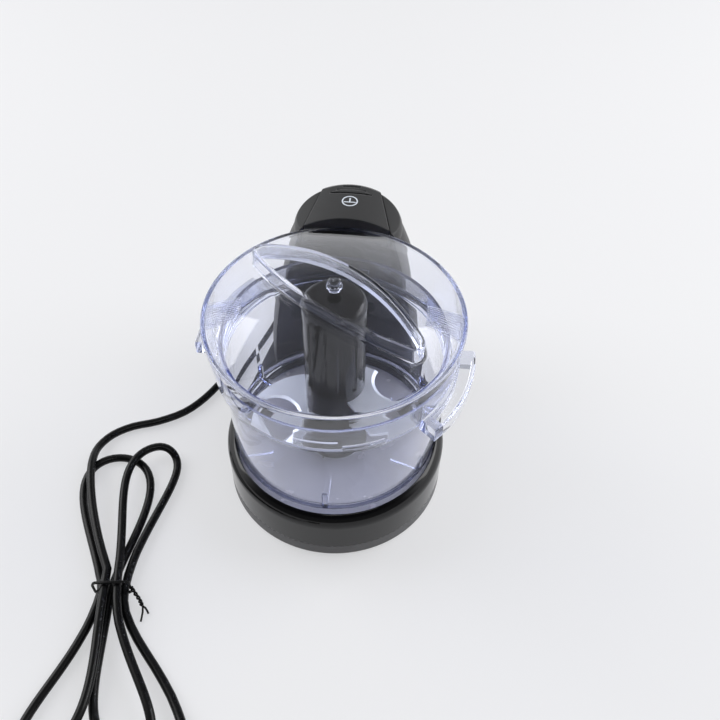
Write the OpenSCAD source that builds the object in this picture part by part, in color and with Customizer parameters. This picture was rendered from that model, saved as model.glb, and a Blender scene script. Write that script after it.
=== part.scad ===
// Electric mini chopper: a clear bowl and a domed lid on a round base, with a
// motor tower behind them and a belt under the bowl.
// Millimetres, +Z up, +Y towards the tower, origin under the middle of the object.

/* [Base] */
// Width of the ring round the bowl's foot
ring_w = 5.6; // [5:0.1:8]
// Height of the feet under the bottom cover
foot_h = 2.5; // [1.5:0.5:5]
// Height of the bottom cover's rim, where the parting line runs
parting_h = 10.5; // [8:0.5:13]
// Wall of the housing and of the bottom cover
wall = 2.6; // [1.8:0.2:3.4]
// Height of the seat that the bowl stands on
seat_h = 33; // [30:0.5:38]
// Thickness of the plate under the seat
seat_t = 3; // [2:0.5:4]
// Radius of the rounded ring round the seat
ring_round = 9; // [6:0.5:11]
// Height where the ring starts to round over
ring_h = 30; // [27:0.5:32]
// Height of the shoulder that joins the base to the tower
shoulder_h = 28; // [26:0.5:30]

/* [Tower] */
// Distance from the bowl's foot to the tower's axis
tower_back = 18.6; // [15:0.2:24]
// Radius of the tower at the parting line
tower_r = 50; // [46:0.5:54]
// Radius of the tower where its top starts to round over
tower_top_r = 31; // [28:0.2:34]
// Height where the tower's top starts to round over
tower_round_h = 125; // [120:0.5:133]
// Radius of the rounding at the tower's top
tower_round = 11; // [8:0.5:14]
// Swell of the tower's side beyond a straight taper
tower_swell = 5; // [2:0.5:7]
// Radius of the crown over the tower's top, seen from the front
crown_r = 86; // [70:1:110]
// Gap between the lid's rim and the tower's hollow front
lid_gap = 2.5; // [1.5:0.5:4]

/* [Button] */
// Width of the push button at the tower's front
button_front_w = 46; // [40:1:48]
// Width of the push button at its rear
button_rear_w = 31; // [26:1:34]
// Distance from the tower's axis to the button's rear edge
button_rear_back = 27; // [26.5:0.1:27.5]
// Gap round the button
button_gap = 0.5; // [0.3:0.1:0.9]
// Height of the button's top above the tower
button_proud = 0.9; // [0.4:0.1:1.4]
// Height of the pocket's floor under the button
pocket_h = 122.5; // [118.5:0.5:123.5]
// Height of the button's lower edge
button_low = 128; // [127:0.5:129.5]
// Wall of the button and of its pocket
button_wall = 2; // [1.4:0.2:2.6]
// Distance from the tower's axis to the button's hinge pin
hinge_pin_back = 23.5; // [22.5:0.1:23.7]
// Radius of the hinge pin
hinge_r = 1.5; // [1.2:0.1:1.8]
// Distance from the tower's axis to the first finger groove
groove_back = 16; // [14:0.5:17]
// Step from one finger groove to the next
groove_step = 3.5; // [3:0.1:3.8]
// Length of the first finger groove
groove_l = 24; // [18:1:26]
// Depth of a finger groove
groove_t = 0.8; // [0.4:0.1:1.2]
// Distance from the tower's axis to the switch
switch_mid_back = 8; // [6.5:0.5:10]

/* [Bowl] */
// Outer radius of the bowl at its foot
bowl_r = 58.4; // [55:0.2:62]
// Draft of the bowl's wall from foot to bead
bowl_draft = 0.9; // [0.2:0.1:1.4]
// Wall of the bowl
bowl_wall = 2.2; // [1.6:0.2:3]
// Height of the bowl's floor inside
floor_h = 43; // [41:0.5:46]
// Height of the bowl's brim
bowl_top = 117.5; // [112:0.5:122]
// Height of the top of the bead that the lid stands on
bead_h = 103; // [98:0.5:108]
// Number of ribs on the bowl's floor
rib_n = 6; // [3:1:8]
// Bore of the chimney round the drive spindle
chimney_r = 6.6; // [6.3:0.1:7.2]
// Height of the chimney's top
chimney_h = 100; // [90:1:104]

/* [Lid] */
// Flare of the lid from its skirt's lower edge to its rim
rim_flare = 3.2; // [2:0.2:5]
// Height of the lid's rim
lid_rim_h = 133.5; // [129:0.5:138]
// Step from the bowl's foot out to the lid's skirt
skirt_step = 5.2; // [5:0.1:6.4]
// Wall of the lid
lid_wall = 2.2; // [1.6:0.2:2.4]
// Rise of the dome over the rim
dome_rise = 12.5; // [10:0.5:15]
// Length of the lens-shaped grip
grip_l = 108; // [98:1:114]
// Width of the grip
grip_w = 32; // [26:1:36]
// Height of the grip's top
grip_h = 153.5; // [150:0.5:158]
// Radius of the crown along the grip
grip_crown = 215; // [170:5:280]
// Direction of the grip as the lid lies on the bowl
grip_turn = -35; // [-42:1:-28]
// Reach of the two lid tabs beyond the rim
tab_reach = 6.9; // [5:0.1:9]
// Middle direction of the front tab
tab_turn = -20; // [-24:1:-16]
// Angle that a tab spans
tab_span = 46; // [36:1:50]
// Height of a tab
tab_h = 8.5; // [6:0.5:10]
// Radius of the lid's centre pin
lid_pin_r = 2.4; // [1.8:0.1:3]

/* [Blades] */
// Outer radius of the blade hub
hub_r = 16.4; // [15.5:0.1:18]
// Height of the hub's top over the lid's rim
hub_rise = 9; // [5:0.5:9]
// Radius of the recess in the hub's top
hub_recess_r = 3.8; // [3:0.1:5]
// Depth of the recess in the hub's top
hub_recess_t = 11; // [6:0.5:14]
// Clear height under the hub
hub_low = 45.5; // [45:0.5:47]
// Height of the lower blade
low_blade_h = 48; // [47.5:0.5:52]
// Height of the upper blade
high_blade_h = 78; // [70:0.5:86]
// Thickness of a blade
blade_t = 1.5; // [1:0.1:2]
// Radius of a blade's back edge
blade_back_r = 36; // [34:0.5:37]
// Radius of a blade's hollow cutting edge
blade_edge_r = 13; // [11:0.5:14]
// Direction of the lower blade
blade_turn = 180; // [0:5:355]

/* [Drive] */
// Distance from the tower's axis to the motor's axis
motor_mid_back = 18; // [16:0.5:18.5]
// Radius of the motor's can
motor_r = 19; // [17.5:0.5:19.5]
// Length of the motor's can
motor_l = 47; // [44:1:49]
// Height of the plate under the motor
plate_h = 32.5; // [31:0.5:34]
// Radius of the motor's shaft
shaft_r = 1.6; // [1.2:0.1:2]
// Running clearance of a shaft in its bush
bush_gap = 0.04; // [0.02:0.01:0.08]
// Radius of the motor pulley's groove
small_pulley_r = 7.5; // [6:0.5:9]
// Radius of the spindle pulley's groove
big_pulley_r = 30; // [26:0.5:32]
// Height of the belt's middle
belt_h = 20; // [18.5:0.5:20.5]
// Width of the belt
belt_w = 6; // [5:0.5:7]
// Thickness of the belt
belt_t = 1.5; // [1:0.1:1.8]
// Radius of the drive spindle
spindle_r = 4; // [3.4:0.1:4.4]
// Width across the flats of the spindle's six-sided head
hex_w = 10; // [9:0.2:10.4]
// Height of the spindle's top
spindle_top = 116; // [112:0.5:120]

/* [Cord] */
// Diameter of the power cord
cord_d = 4.8; // [4:0.1:5]
// Height where the cord leaves the tower
cord_exit_h = 18; // [16:0.5:20]
// Direction in which the cord leaves the tower
cord_exit_turn = 100; // [98:1:102]
// Length of the strain relief outside the tower
relief_l = 24; // [23:0.5:25]
// Gap between two strands in the hank
strand_gap = 0.6; // [0.5:0.1:1]

/* [Hidden] */
$fn = 72;
// A cut reaches this far past the face that it opens
over = 1;
// Clearance of two parts that only seat in each other
seat_gap = 0.05;
// Clearance of parts that move past each other
move_gap = 0.3;

// The bowl's radius sets the base, the lid and the places behind the bowl
base_r = bowl_r + ring_w;
skirt_r = bowl_r + skirt_step;
lid_rim_r = skirt_r + rim_flare;
tab_r = lid_rim_r + tab_reach;
tower_offset = bowl_r + tower_back;
button_rear = tower_offset + button_rear_back;
hinge_back = tower_offset + hinge_pin_back;
switch_back = tower_offset + switch_mid_back;
motor_back = tower_offset + motor_mid_back;
hub_top = lid_rim_h + hub_rise;

// The object's middle lies halfway between the lid's front and the tower's rear
bowl_y = (lid_rim_r - tower_offset - tower_r) / 2;
tower_y = bowl_y + tower_offset;
motor_y = bowl_y + motor_back;
cover_low = foot_h;
cover_t = 2.5;
cover_floor = cover_low + cover_t;
front_r = lid_rim_r + lid_gap;
tower_top = tower_round_h + tower_round;

// The tower stands a little proud of the shoulder. Its side is upright to just above the
// shoulder, then an arc to the start of its top rounding
shoulder_r = tower_r - 0.3;
side_low = shoulder_h + 2;
side_chord = [tower_top_r - tower_r, tower_round_h - side_low];
side_half = norm(side_chord) / 2;
side_arc = (side_half * side_half + tower_swell * tower_swell) / (2 * tower_swell);
side_out = [side_chord[1], -side_chord[0]] / norm(side_chord);
side_middle = [tower_r, side_low] + side_chord / 2 - side_out * (side_arc - tower_swell);

// Seat of the bowl and what lies under it
seat_r = bowl_r + 0.8;
spindle_boss_r = 12;
spindle_boss_low = seat_h - 8;
spindle_boss_top = seat_h + 6;
bush_r = spindle_r + 3;
pulley_low = belt_h - belt_w / 2 - 1.5;
pulley_high = belt_h + belt_w / 2 + 1.5;
belt_gap = 0.25;
motor_low = plate_h + 3;
motor_top = motor_low + motor_l;
cap_t = 4;
post_x = motor_r + 7;
neck_r = 5;
motor_bush_r = 3.5;
core_r = motor_r - 5.6;
commutator_r = 5;
commutator_low = motor_top - 10;
commutator_l = 8;
core_low = motor_low + 11;
core_l = motor_l - 28;
magnet_low = motor_low + 7;
magnet_l = motor_l - 20;
turn_r = 2.2;

// Bowl, from its foot to its brim
bowl_high_r = bowl_r + bowl_draft;
bead_r = skirt_r - 1.6;
bead_t = 3.5;
under_floor = floor_h - bowl_wall;
chimney_out = chimney_r + 2.4;
lug_span = 20;
lug_turn = 19;
lug_t = 2.5;
lug_n = 4;
lock_turn = 15;
lug_rest = 22;
bowl_lug_low = bead_h + 3.6;
lid_lug_high = bead_h + 3.1;
skirt_in_r = skirt_r - lid_wall;
bowl_lug_r = skirt_in_r - 0.45;
lid_lug_r = bowl_high_r + 0.45;

// Lid dome: a sphere through the rim, and the lens of the grip
dome_edge_r = lid_rim_r - 2.5;
dome_r = (dome_edge_r * dome_edge_r + dome_rise * dome_rise) / (2 * dome_rise);
dome_middle = lid_rim_h + dome_rise - dome_r;
grip_end_r = 5.5;
grip_end = grip_l / 2 - grip_end_r;
lens_r = (grip_end * grip_end + grip_w * grip_w / 4 - grip_end_r * grip_end_r) / (grip_w - 2 * grip_end_r);
lens_middle = lens_r - grip_w / 2;
tab_low = bead_h - 3.5;
pin_seat_r = lid_pin_r + 2.2;
pin_seat_low = grip_h - lid_wall - 1.4;
pin_head_r = lid_pin_r + 0.9;
pin_head_t = 0.9;

// Button
pocket_t = 2.6;
pocket_wall_low = pocket_h - pocket_t;
hinge_z = pocket_h + 3.5;
lug_r = 3.2;
plunger_r = 2;
plunger_top = pocket_h + 1.7;
switch_h = 11.4;

// Blade hub
hub_round = 4;
hub_bore = chimney_out + 1.3;
hex_gap = 0.3;
hub_socket_low = spindle_top - 14;
hub_recess_low = hub_top - hub_recess_t;

// Points on the wanted path of the power cord, from the strain relief to the hank,
// measured from the bowl's axis
cord_r = cord_d / 2;
floor_z = cord_r + 0.1;
exit_dir = [cos(cord_exit_turn), sin(cord_exit_turn), 0];
relief_end = [0, tower_offset, cord_exit_h] + exit_dir * (tower_r + relief_l);
hank_middle = [-113, -97, 0];
hank_turn = 97;
row_step = cord_d + strand_gap;
waist_z = floor_z + 1.2;
upper_z = waist_z + cord_d + 0.5;
hank_start = 5;
lead_slot = -3.7;
route = [
    [-15.5, 163, 16], [-21, 173, 12], [-32, 178, 8], [-43, 174, 5], [-51, 164, 3.2],
    [-55, 150, floor_z], [-58, 133, floor_z], [-62, 112, floor_z], [-68, 92, floor_z],
    [-75, 74, floor_z], [-82, 58, floor_z], [-91, 41, floor_z], [-102, 28, floor_z],
    [-117, 19, floor_z], [-132, 13.5, floor_z], [-143, 6, floor_z], [-148.5, -5, 4.2],
    [-148, -17, 7.4], [-145, -30, 8.4], [-138, -49, 8.6], [-128, -70, upper_z]];

// Along the hank, across it and up: a place in the hank to a place beside the bowl
hank_along = [cos(hank_turn), sin(hank_turn), 0];
hank_across = [sin(hank_turn), -cos(hank_turn), 0];
function hank_place(along, across, up) =
    hank_middle + hank_along * along + hank_across * across + [0, 0, up];
function ease(a, b, u) = let (t = min(1, max(0, (u - a) / (b - a)))) t * t * (3 - 2 * t);
function blend(a, b, t) = a + (b - a) * t;

// One loop of the hank runs out from the waist and back: its length (below zero towards
// the lower end), blunt tip, width, lean, slots at the waist, and rows that it starts
// and ends in, with the stretch of the loop where it changes rows
function loop_point(q, u) =
    let (reach = pow(sin(180 * u), q[1]))
    let (across = blend(q[4], q[5], u) + q[3] * sin(180 * u) - q[2] * sin(360 * u))
    let (row = blend(q[6], q[7], ease(q[8], q[9], u)))
    let (lift = (waist_z - floor_z) * (1 - ease(0.1, 0.5, reach)))
    hank_place(q[0] * reach, across * row_step / 5.4, floor_z + lift + row * (upper_z - waist_z));
hank_loops = [
    [-84, 0.6, -13, -20.5, lead_slot, -6.4, 1, 0, 0.2, 0.5],
    [88, 0.8, 18.5, -6.6, -6.4, -1, 0, 0, 0, 1],
    [-84, 0.6, 13, 20.5, -1, 3, 0, 1, 0.5, 0.8],
    [92, 0.6, 13, 10.5, 3, 6.2, 1, 0, 0.5, 0.72]];
rings_per_loop = 24;
function loop_step(i) = 0.4 * i / rings_per_loop + 0.3 * (1 - cos(180 * i / rings_per_loop));
loop_rings = [for (k = [0:len(hank_loops) - 1]) for (i = [k == 0 ? 1 : 0:rings_per_loop - 1])
    loop_point(hank_loops[k], loop_step(i))];
plug_h = 7;
plug_tail = [loop_point(hank_loops[len(hank_loops) - 1], 1), hank_place(-13, 8.5, floor_z + 0.6),
    hank_place(-28, 17, floor_z),
    hank_place(-43, 28, floor_z), hank_place(-58, 38, floor_z + 0.6), hank_place(-72, 45, 4.4),
    hank_place(-84, 50, plug_h)];
plug_face = hank_place(-96, 53.5, plug_h);
plug_dir = (plug_face - plug_tail[len(plug_tail) - 1]) / norm(plug_face - plug_tail[len(plug_tail) - 1]);
hank_first = hank_place(hank_start, lead_slot * row_step / 5.4, upper_z);
hank_path = concat([hank_first, hank_first - hank_along * cord_d], loop_rings, plug_tail,
    [plug_face - plug_dir * cord_d, plug_face]);
cord_path = concat([relief_end, relief_end + exit_dir * cord_d],
    smooth_route(concat([relief_end + exit_dir * cord_d], route, [hank_first + hank_along * cord_d])),
    [hank_first]);

// A smooth curve through a list of points, two steps to each stretch
function curve_point(p, i, t) =
    let (a = p[max(0, i - 1)])
    let (b = p[i])
    let (c = p[i + 1])
    let (d = p[min(len(p) - 1, i + 2)])
    (2 * b + (c - a) * t + (2 * a - 5 * b + 4 * c - d) * t * t
        + (3 * b - a - 3 * c + d) * t * t * t) / 2;
function smooth_route(p) = concat(
    [for (i = [0:len(p) - 2]) for (t = [0, 0.5]) if (i + t > 0) curve_point(p, i, t)],
    [p[len(p) - 1]]);

// Least gap of the cord to itself, leaving out stretches that follow each other
whole_cord = concat(cord_path, hank_path);
function run_length(p) = [for (i = 0, s = 0; i < len(p); s = s + (i + 1 < len(p) ?
    norm(p[i + 1] - p[i]) : 0), i = i + 1) s];
cord_run = run_length(whole_cord);
function piece_gap(p, q, r) =
    let (d = q - p)
    let (t = d * d == 0 ? 0 : min(1, max(0, ((r - p) * d) / (d * d))))
    norm(p + d * t - r);
cord_gap = min([for (i = [0:len(whole_cord) - 2]) for (j = [0:len(whole_cord) - 1])
    if (min(abs(cord_run[i] - cord_run[j]), abs(cord_run[i + 1] - cord_run[j])) > 6 * cord_d)
    piece_gap(whole_cord[i], whole_cord[i + 1], whole_cord[j])]) - cord_d;
echo("least gap of the cord to itself", cord_gap);
echo("length of the cord", cord_run[len(cord_run) - 1]);

module at_bowl(z = 0) translate([0, bowl_y, z]) children();
module at_tower(z = 0) translate([0, tower_y, z]) children();
module at_motor(z = 0) translate([0, motor_y, z]) children();

// A tube of the given bore and outer radius
module tube(r_out, r_in, h) {
    difference() {
        cylinder(r = r_out, h = h);
        translate([0, 0, -over]) cylinder(r = r_in, h = h + 2 * over);
    }
}

// Two round ends, the first at the origin and the second along +Y, with straight sides
module band(r1, r2, d) {
    lean = asin((r1 - r2) / d);
    reach = [cos(lean), sin(lean)];
    circle(r = r1);
    translate([0, d]) circle(r = r2);
    polygon([[-r1 * reach[0], r1 * reach[1]], [r1 * reach[0], r1 * reach[1]],
        [r2 * reach[0], d + r2 * reach[1]], [-r2 * reach[0], d + r2 * reach[1]]]);
}

// A round tube along points: rings square to the path, joined by triangles
module swept(path, r, sides) {
    n = len(path);
    function tangent(i) = let (v = path[min(n - 1, i + 1)] - path[max(0, i - 1)]) v / norm(v);
    function side_of(t) = let (v = cross(t, [0, 0, 1])) v / norm(v);
    rings = [for (i = [0:n - 1]) let (t = tangent(i), a = side_of(t), b = cross(a, t))
        for (k = [0:sides - 1]) path[i] + r * (cos(360 * k / sides) * a + sin(360 * k / sides) * b)];
    walls = [for (i = [0:n - 2]) for (k = [0:sides - 1]) let (m = (k + 1) % sides)
        each [[i * sides + k, (i + 1) * sides + m, (i + 1) * sides + k],
            [i * sides + k, i * sides + m, (i + 1) * sides + m]]];
    ends = [for (k = [1:sides - 2]) each [[0, k + 1, k],
        [(n - 1) * sides, (n - 1) * sides + k, (n - 1) * sides + k + 1]]];
    polyhedron(points = rings, faces = concat(walls, ends), convexity = 10);
}

// Half of the tower's outline, drawn in by an inset
module tower_outline(inset) {
    translate([0, parting_h - over]) square([tower_r - inset, side_low - parting_h + over]);
    intersection() {
        translate(side_middle) circle(r = side_arc - inset, $fn = 360);
        translate([0, side_low]) square([tower_r - inset, tower_round_h - side_low]);
    }
    intersection() {
        translate([tower_top_r - tower_round, tower_round_h]) circle(r = tower_round - inset);
        translate([0, tower_round_h]) square([tower_r, tower_round]);
    }
    translate([0, parting_h - over])
        square([tower_top_r - tower_round, tower_top - inset - parting_h + over]);
}

// The tower as a turned form under a crowned top
module tower_form(inset) {
    intersection() {
        at_tower() rotate_extrude() tower_outline(inset);
        translate([0, tower_y - 2 * tower_r, tower_top - crown_r]) rotate([-90, 0, 0])
            cylinder(r = crown_r - inset, h = 4 * tower_r, $fn = 360);
    }
}

// The round base with its rounded ring
module base_form() {
    at_bowl() rotate_extrude() {
        translate([0, parting_h]) square([base_r, ring_h - parting_h]);
        intersection() {
            translate([base_r - ring_round, ring_h]) circle(r = ring_round);
            translate([0, ring_h]) square([base_r, ring_round]);
        }
        translate([0, parting_h]) square([base_r - ring_round, ring_h + ring_round - parting_h]);
    }
}

// Plan of the button, with its side and rear edges moved out by a margin
module button_plan(margin) {
    taper = (button_front_w - button_rear_w) / 2 / (button_rear - front_r);
    front = front_r - 24;
    front_half = button_front_w / 2 + taper * (front_r - front) + margin;
    rear_half = button_rear_w / 2 - taper * margin + margin;
    polygon([[-front_half, front], [front_half, front],
        [rear_half, button_rear + margin], [-rear_half, button_rear + margin]]);
}
module button_prism(margin, low, high)
    at_bowl(low) linear_extrude(height = high - low) button_plan(margin);

// Places of the screws that hold the bottom cover
screw_hole_r = 1.3;
screw_boss_r = 4;
base_screws = [for (a = [215, 270, 325]) [(base_r - 8) * cos(a), bowl_y + (base_r - 8) * sin(a)]];
tower_screws = [for (a = [5, 175]) [(tower_r - 6) * cos(a), tower_y + (tower_r - 6) * sin(a)]];
screw_places = concat(base_screws, tower_screws);

module main_housing() {
    color([0.2, 0.2, 0.21]) difference() {
        union() {
            housing_shell();
            at_bowl(spindle_boss_low) cylinder(r = spindle_boss_r, h = spindle_boss_top - spindle_boss_low);
            for (p = base_screws) translate([p[0], p[1], parting_h])
                cylinder(r = screw_boss_r, h = seat_h - seat_t - parting_h + over);
            intersection() {
                for (p = tower_screws) translate([p[0], p[1], parting_h])
                    cylinder(r = screw_boss_r, h = plate_h - parting_h);
                tower_form(wall / 2);
            }
        }
        at_bowl(spindle_boss_low - over) cylinder(r = bush_r, h = 20);
        for (p = screw_places) translate([p[0], p[1], parting_h - over])
            cylinder(r = screw_hole_r, h = 13);
        // Hinge pin, switch plunger and strain relief pass through the walls
        at_bowl() translate([0, hinge_back, hinge_z]) rotate([0, 90, 0])
            translate([0, 0, -button_pin_half()]) cylinder(r = hinge_r + seat_gap, h = 2 * button_pin_half());
        at_bowl(pocket_wall_low - over) translate([0, switch_back, 0])
            cylinder(r = plunger_r + move_gap, h = pocket_t + 2 * over);
        at_exit() translate([0, 0, tower_r - 3 * wall]) cylinder(r = relief_neck_r(), h = 4 * wall);
    }
}
function button_pin_half() = button_rear_w / 2 + button_wall + 1;
function relief_neck_r() = cord_r + 2.2;

// The cord's exit: along +Z of its own frame, starting at the tower's axis
module at_exit()
    translate([0, tower_y, cord_exit_h]) rotate([0, 90, cord_exit_turn]) children();

module housing_shell() {
    difference() {
        union() {
            base_form();
            at_bowl(parting_h) linear_extrude(height = shoulder_h - parting_h)
                band(base_r, shoulder_r, tower_offset);
            difference() {
                tower_form(0);
                translate([0, 0, -over]) cube([4 * tower_r, 4 * tower_r, 2 * parting_h + 2 * over], center = true);
                at_bowl(seat_h) cylinder(r = front_r, h = tower_top);
            }
        }
        at_bowl(seat_h) cylinder(r = seat_r, h = tower_top);
        at_bowl(parting_h - over) cylinder(r = base_r - wall, h = seat_h - seat_t - parting_h + over);
        at_bowl(parting_h - over) linear_extrude(height = shoulder_h - wall - parting_h + over)
            band(base_r - wall, shoulder_r - wall, tower_offset);
        difference() {
            tower_form(wall);
            at_bowl(shoulder_h - wall) cylinder(r = front_r + wall, h = tower_top);
            intersection() {
                button_prism(button_gap + button_wall, pocket_wall_low, tower_top + over);
                tower_form(0);
            }
        }
        button_prism(button_gap, pocket_h, tower_top + 5);
    }
}

module bottom_cover() {
    color([0.3, 0.3, 0.31]) difference() {
        union() {
            difference() {
                at_bowl(cover_low) linear_extrude(height = parting_h - seat_gap - cover_low)
                    band(base_r, tower_r, tower_offset);
                at_bowl(cover_floor) linear_extrude(height = parting_h)
                    band(base_r - wall, tower_r - wall, tower_offset);
            }
            at_bowl(cover_floor - over) cylinder(r = bush_r + 2, h = pulley_low - 1.5 - cover_floor + over);
            for (x = [-post_x, post_x]) translate([x, motor_y, cover_floor - over])
                cylinder(r = screw_boss_r, h = plate_h - cover_floor + over);
            for (p = screw_places) translate([p[0], p[1], cover_floor - over])
                cylinder(r = screw_boss_r, h = parting_h - seat_gap - cover_floor + over);
        }
        at_bowl(cover_floor) cylinder(r = spindle_r + 2, h = pulley_low);
        for (x = [-post_x, post_x]) translate([x, motor_y, plate_h - 12])
            cylinder(r = screw_hole_r, h = 12 + over);
        for (p = screw_places) translate([p[0], p[1], 0]) {
            cylinder(r = screw_hole_r + 0.5, h = parting_h + over);
            cylinder(r = 3.2, h = cover_low + 3);
        }
        // Air slots under the motor
        for (i = [-4:4]) translate([i * 5 - 1, motor_y - 12, 0]) cube([2, 24, cover_floor + over]);
    }
}

foot_r = 6;
foot_places = [for (a = [235, 305]) [(base_r - 14) * cos(a), bowl_y + (base_r - 14) * sin(a)],
    for (a = [40, 140]) [(tower_r - 12) * cos(a), tower_y + (tower_r - 12) * sin(a)]];
module rubber_feet() {
    color([0.08, 0.08, 0.08]) for (p = foot_places) translate([p[0], p[1], 0])
        cylinder(r = foot_r, h = foot_h);
}

module screw(head_r, head_h, shank_r, shank_l) {
    cylinder(r = head_r, h = head_h);
    translate([0, 0, head_h - seat_gap]) cylinder(r = shank_r, h = shank_l);
}
module cover_screws() {
    color([0.7, 0.7, 0.72]) for (p = screw_places) translate([p[0], p[1], cover_low + 1])
        screw(2.8, 2 - seat_gap, screw_hole_r - seat_gap, 15);
}

module motor_plate() {
    color([0.75, 0.75, 0.76]) at_motor(plate_h) linear_extrude(height = motor_low - plate_h)
        difference() {
            union() {
                circle(r = motor_r + 1.5);
                translate([-post_x, -5]) square([2 * post_x, 10]);
                for (x = [-post_x, post_x]) translate([x, 0]) circle(r = 5);
            }
            circle(r = neck_r + seat_gap);
            for (x = [-post_x, post_x]) translate([x, 0]) circle(r = screw_hole_r + 0.3);
        }
}
module motor_plate_screws() {
    color([0.7, 0.7, 0.72]) for (x = [-post_x, post_x])
        translate([x, motor_y, motor_low + 2]) rotate([180, 0, 0])
            screw(2.8, 2, screw_hole_r - seat_gap, 12);
}

module motor_can() {
    color([0.62, 0.63, 0.65]) at_motor() difference() {
        union() {
            translate([0, 0, motor_low]) cylinder(r = motor_r, h = motor_l);
            translate([0, 0, plate_h + 0.5]) cylinder(r = neck_r, h = 4);
        }
        translate([0, 0, motor_low + 1.5]) cylinder(r = motor_r - 1.5, h = motor_l);
        translate([0, 0, plate_h]) cylinder(r = motor_bush_r, h = 8);
        for (a = [0, 180]) rotate([0, 0, a]) translate([motor_r, 0, motor_low + 8]) rotate([0, -90, 0])
            cylinder(r = 3, h = 4);
    }
}
module motor_magnets() {
    color([0.25, 0.25, 0.27]) at_motor(magnet_low) for (a = [25, 205]) rotate([0, 0, a])
        rotate_extrude(angle = 130) translate([core_r + 0.8, 0])
            square([motor_r - 1.5 - seat_gap - core_r - 0.8, magnet_l]);
}
module motor_end_cap() {
    color([0.9, 0.9, 0.88]) at_motor(motor_top) difference() {
        union() {
            cylinder(r = motor_r, h = cap_t);
            cylinder(r = neck_r + 1, h = cap_t + 3);
            translate([0, 0, -3]) tube(motor_r - 1.5 - seat_gap, motor_r - 3, 3 + over);
            for (x = [-9, 9]) translate([x, 5, 0]) cylinder(r = 2, h = cap_t + 4);
        }
        translate([0, 0, -over]) cylinder(r = motor_bush_r, h = cap_t + 2);
        for (a = [45:90:315]) rotate([0, 0, a]) translate([motor_r - 6, 0, -over])
            cylinder(r = 2.4, h = cap_t + 2 * over);
    }
}
module motor_bushes() {
    color([0.72, 0.55, 0.3]) at_motor() {
        translate([0, 0, plate_h + 0.5]) tube(motor_bush_r - seat_gap, shaft_r + bush_gap, 4.5);
        translate([0, 0, motor_top]) tube(motor_bush_r - seat_gap, shaft_r + bush_gap, cap_t);
    }
}
module brush_holders() {
    color([0.8, 0.66, 0.3]) at_motor() for (a = [0, 180]) rotate([0, 0, a])
        translate([commutator_r + 2, -3.2, commutator_low + 1]) difference() {
            cube([6, 6.4, motor_top - commutator_low - 1]);
            translate([-over, 1.2 - seat_gap, 0.8]) cube([6 + 2 * over, 4 + 2 * seat_gap, 5]);
        }
}
module carbon_brushes() {
    color([0.15, 0.15, 0.16]) at_motor(commutator_low + 1.8) for (a = [0, 180]) rotate([0, 0, a])
        difference() {
            translate([commutator_r - 1, -2, seat_gap]) cube([8, 4, 4.8]);
            translate([0, 0, -over]) cylinder(r = commutator_r + 0.1, h = 8);
        }
}
module rectifier_board() {
    color([0.15, 0.4, 0.25]) at_motor(motor_top + cap_t + 4) {
        translate([-13, -3, 0]) cube([26, 16, 1.6]);
        translate([-7, 0, 1.6 - seat_gap]) cube([14, 4, 9]);
    }
}

module armature_core() {
    color([0.55, 0.55, 0.57]) at_motor(core_low) linear_extrude(height = core_l) difference() {
        circle(r = core_r);
        circle(r = shaft_r + seat_gap);
        armature_slots();
    }
}
module armature_slots() {
    for (i = [0:4]) rotate(72 * i) {
        translate([core_r - 4.5, 0]) circle(r = 2.3);
        translate([core_r - 4, -0.8]) square([6, 1.6]);
    }
}
module armature_winding() {
    color([0.72, 0.4, 0.2]) at_motor() {
        for (z = [core_low - turn_r - seat_gap, core_low + core_l + turn_r + seat_gap]) translate([0, 0, z])
            rotate_extrude() translate([core_r - 5.4, 0]) circle(r = turn_r);
        translate([0, 0, core_low]) linear_extrude(height = core_l) for (i = [0:4])
            rotate(72 * i) translate([core_r - 4.5, 0]) circle(r = 2.3 - seat_gap);
        // Leads from the end turns to the commutator's foot
        translate([0, 0, core_low + core_l + turn_r])
            tube(core_r - 6, core_r - 7.2, commutator_low + 0.5 - core_low - core_l - turn_r);
    }
}
module commutator() {
    color([0.78, 0.5, 0.28]) at_motor(commutator_low) difference() {
        union() {
            cylinder(r = commutator_r, h = commutator_l);
            cylinder(r = commutator_r + 1.1, h = 1.2);
        }
        translate([0, 0, -over]) cylinder(r = shaft_r + seat_gap, h = commutator_l + 2 * over);
        for (i = [0:4]) rotate([0, 0, 72 * i]) translate([commutator_r - 0.8, -0.25, 1.6]) cube([2, 0.5, 8]);
    }
}
module motor_shaft() {
    color([0.75, 0.75, 0.77]) at_motor(pulley_low) cylinder(r = shaft_r, h = motor_top + cap_t - 0.5 - pulley_low);
}

// A flanged pulley with a groove for the flat belt
module pulley(groove_r, flange, bore, web_r) {
    difference() {
        rotate_extrude() {
            translate([bore, pulley_low]) square([groove_r - bore, pulley_high - pulley_low]);
            translate([bore, pulley_low]) square([groove_r + flange - bore, 1]);
            translate([bore, pulley_high - 1]) square([groove_r + flange - bore, 1]);
        }
        if (web_r > 0) {
            translate([0, 0, pulley_high - 3]) tube(groove_r - 3, web_r, 4);
            for (a = [0:60:300]) rotate([0, 0, a]) translate([(groove_r - 3 + web_r) / 2, 0, pulley_low - over])
                cylinder(r = 4, h = 12);
        }
    }
}
module motor_pulley() {
    color([0.85, 0.85, 0.83]) at_motor() pulley(small_pulley_r, 2, shaft_r + seat_gap, 0);
}
module spindle_pulley() {
    color([0.85, 0.85, 0.83]) at_bowl() pulley(big_pulley_r, 3, spindle_r + seat_gap, spindle_r + 7);
}
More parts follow.
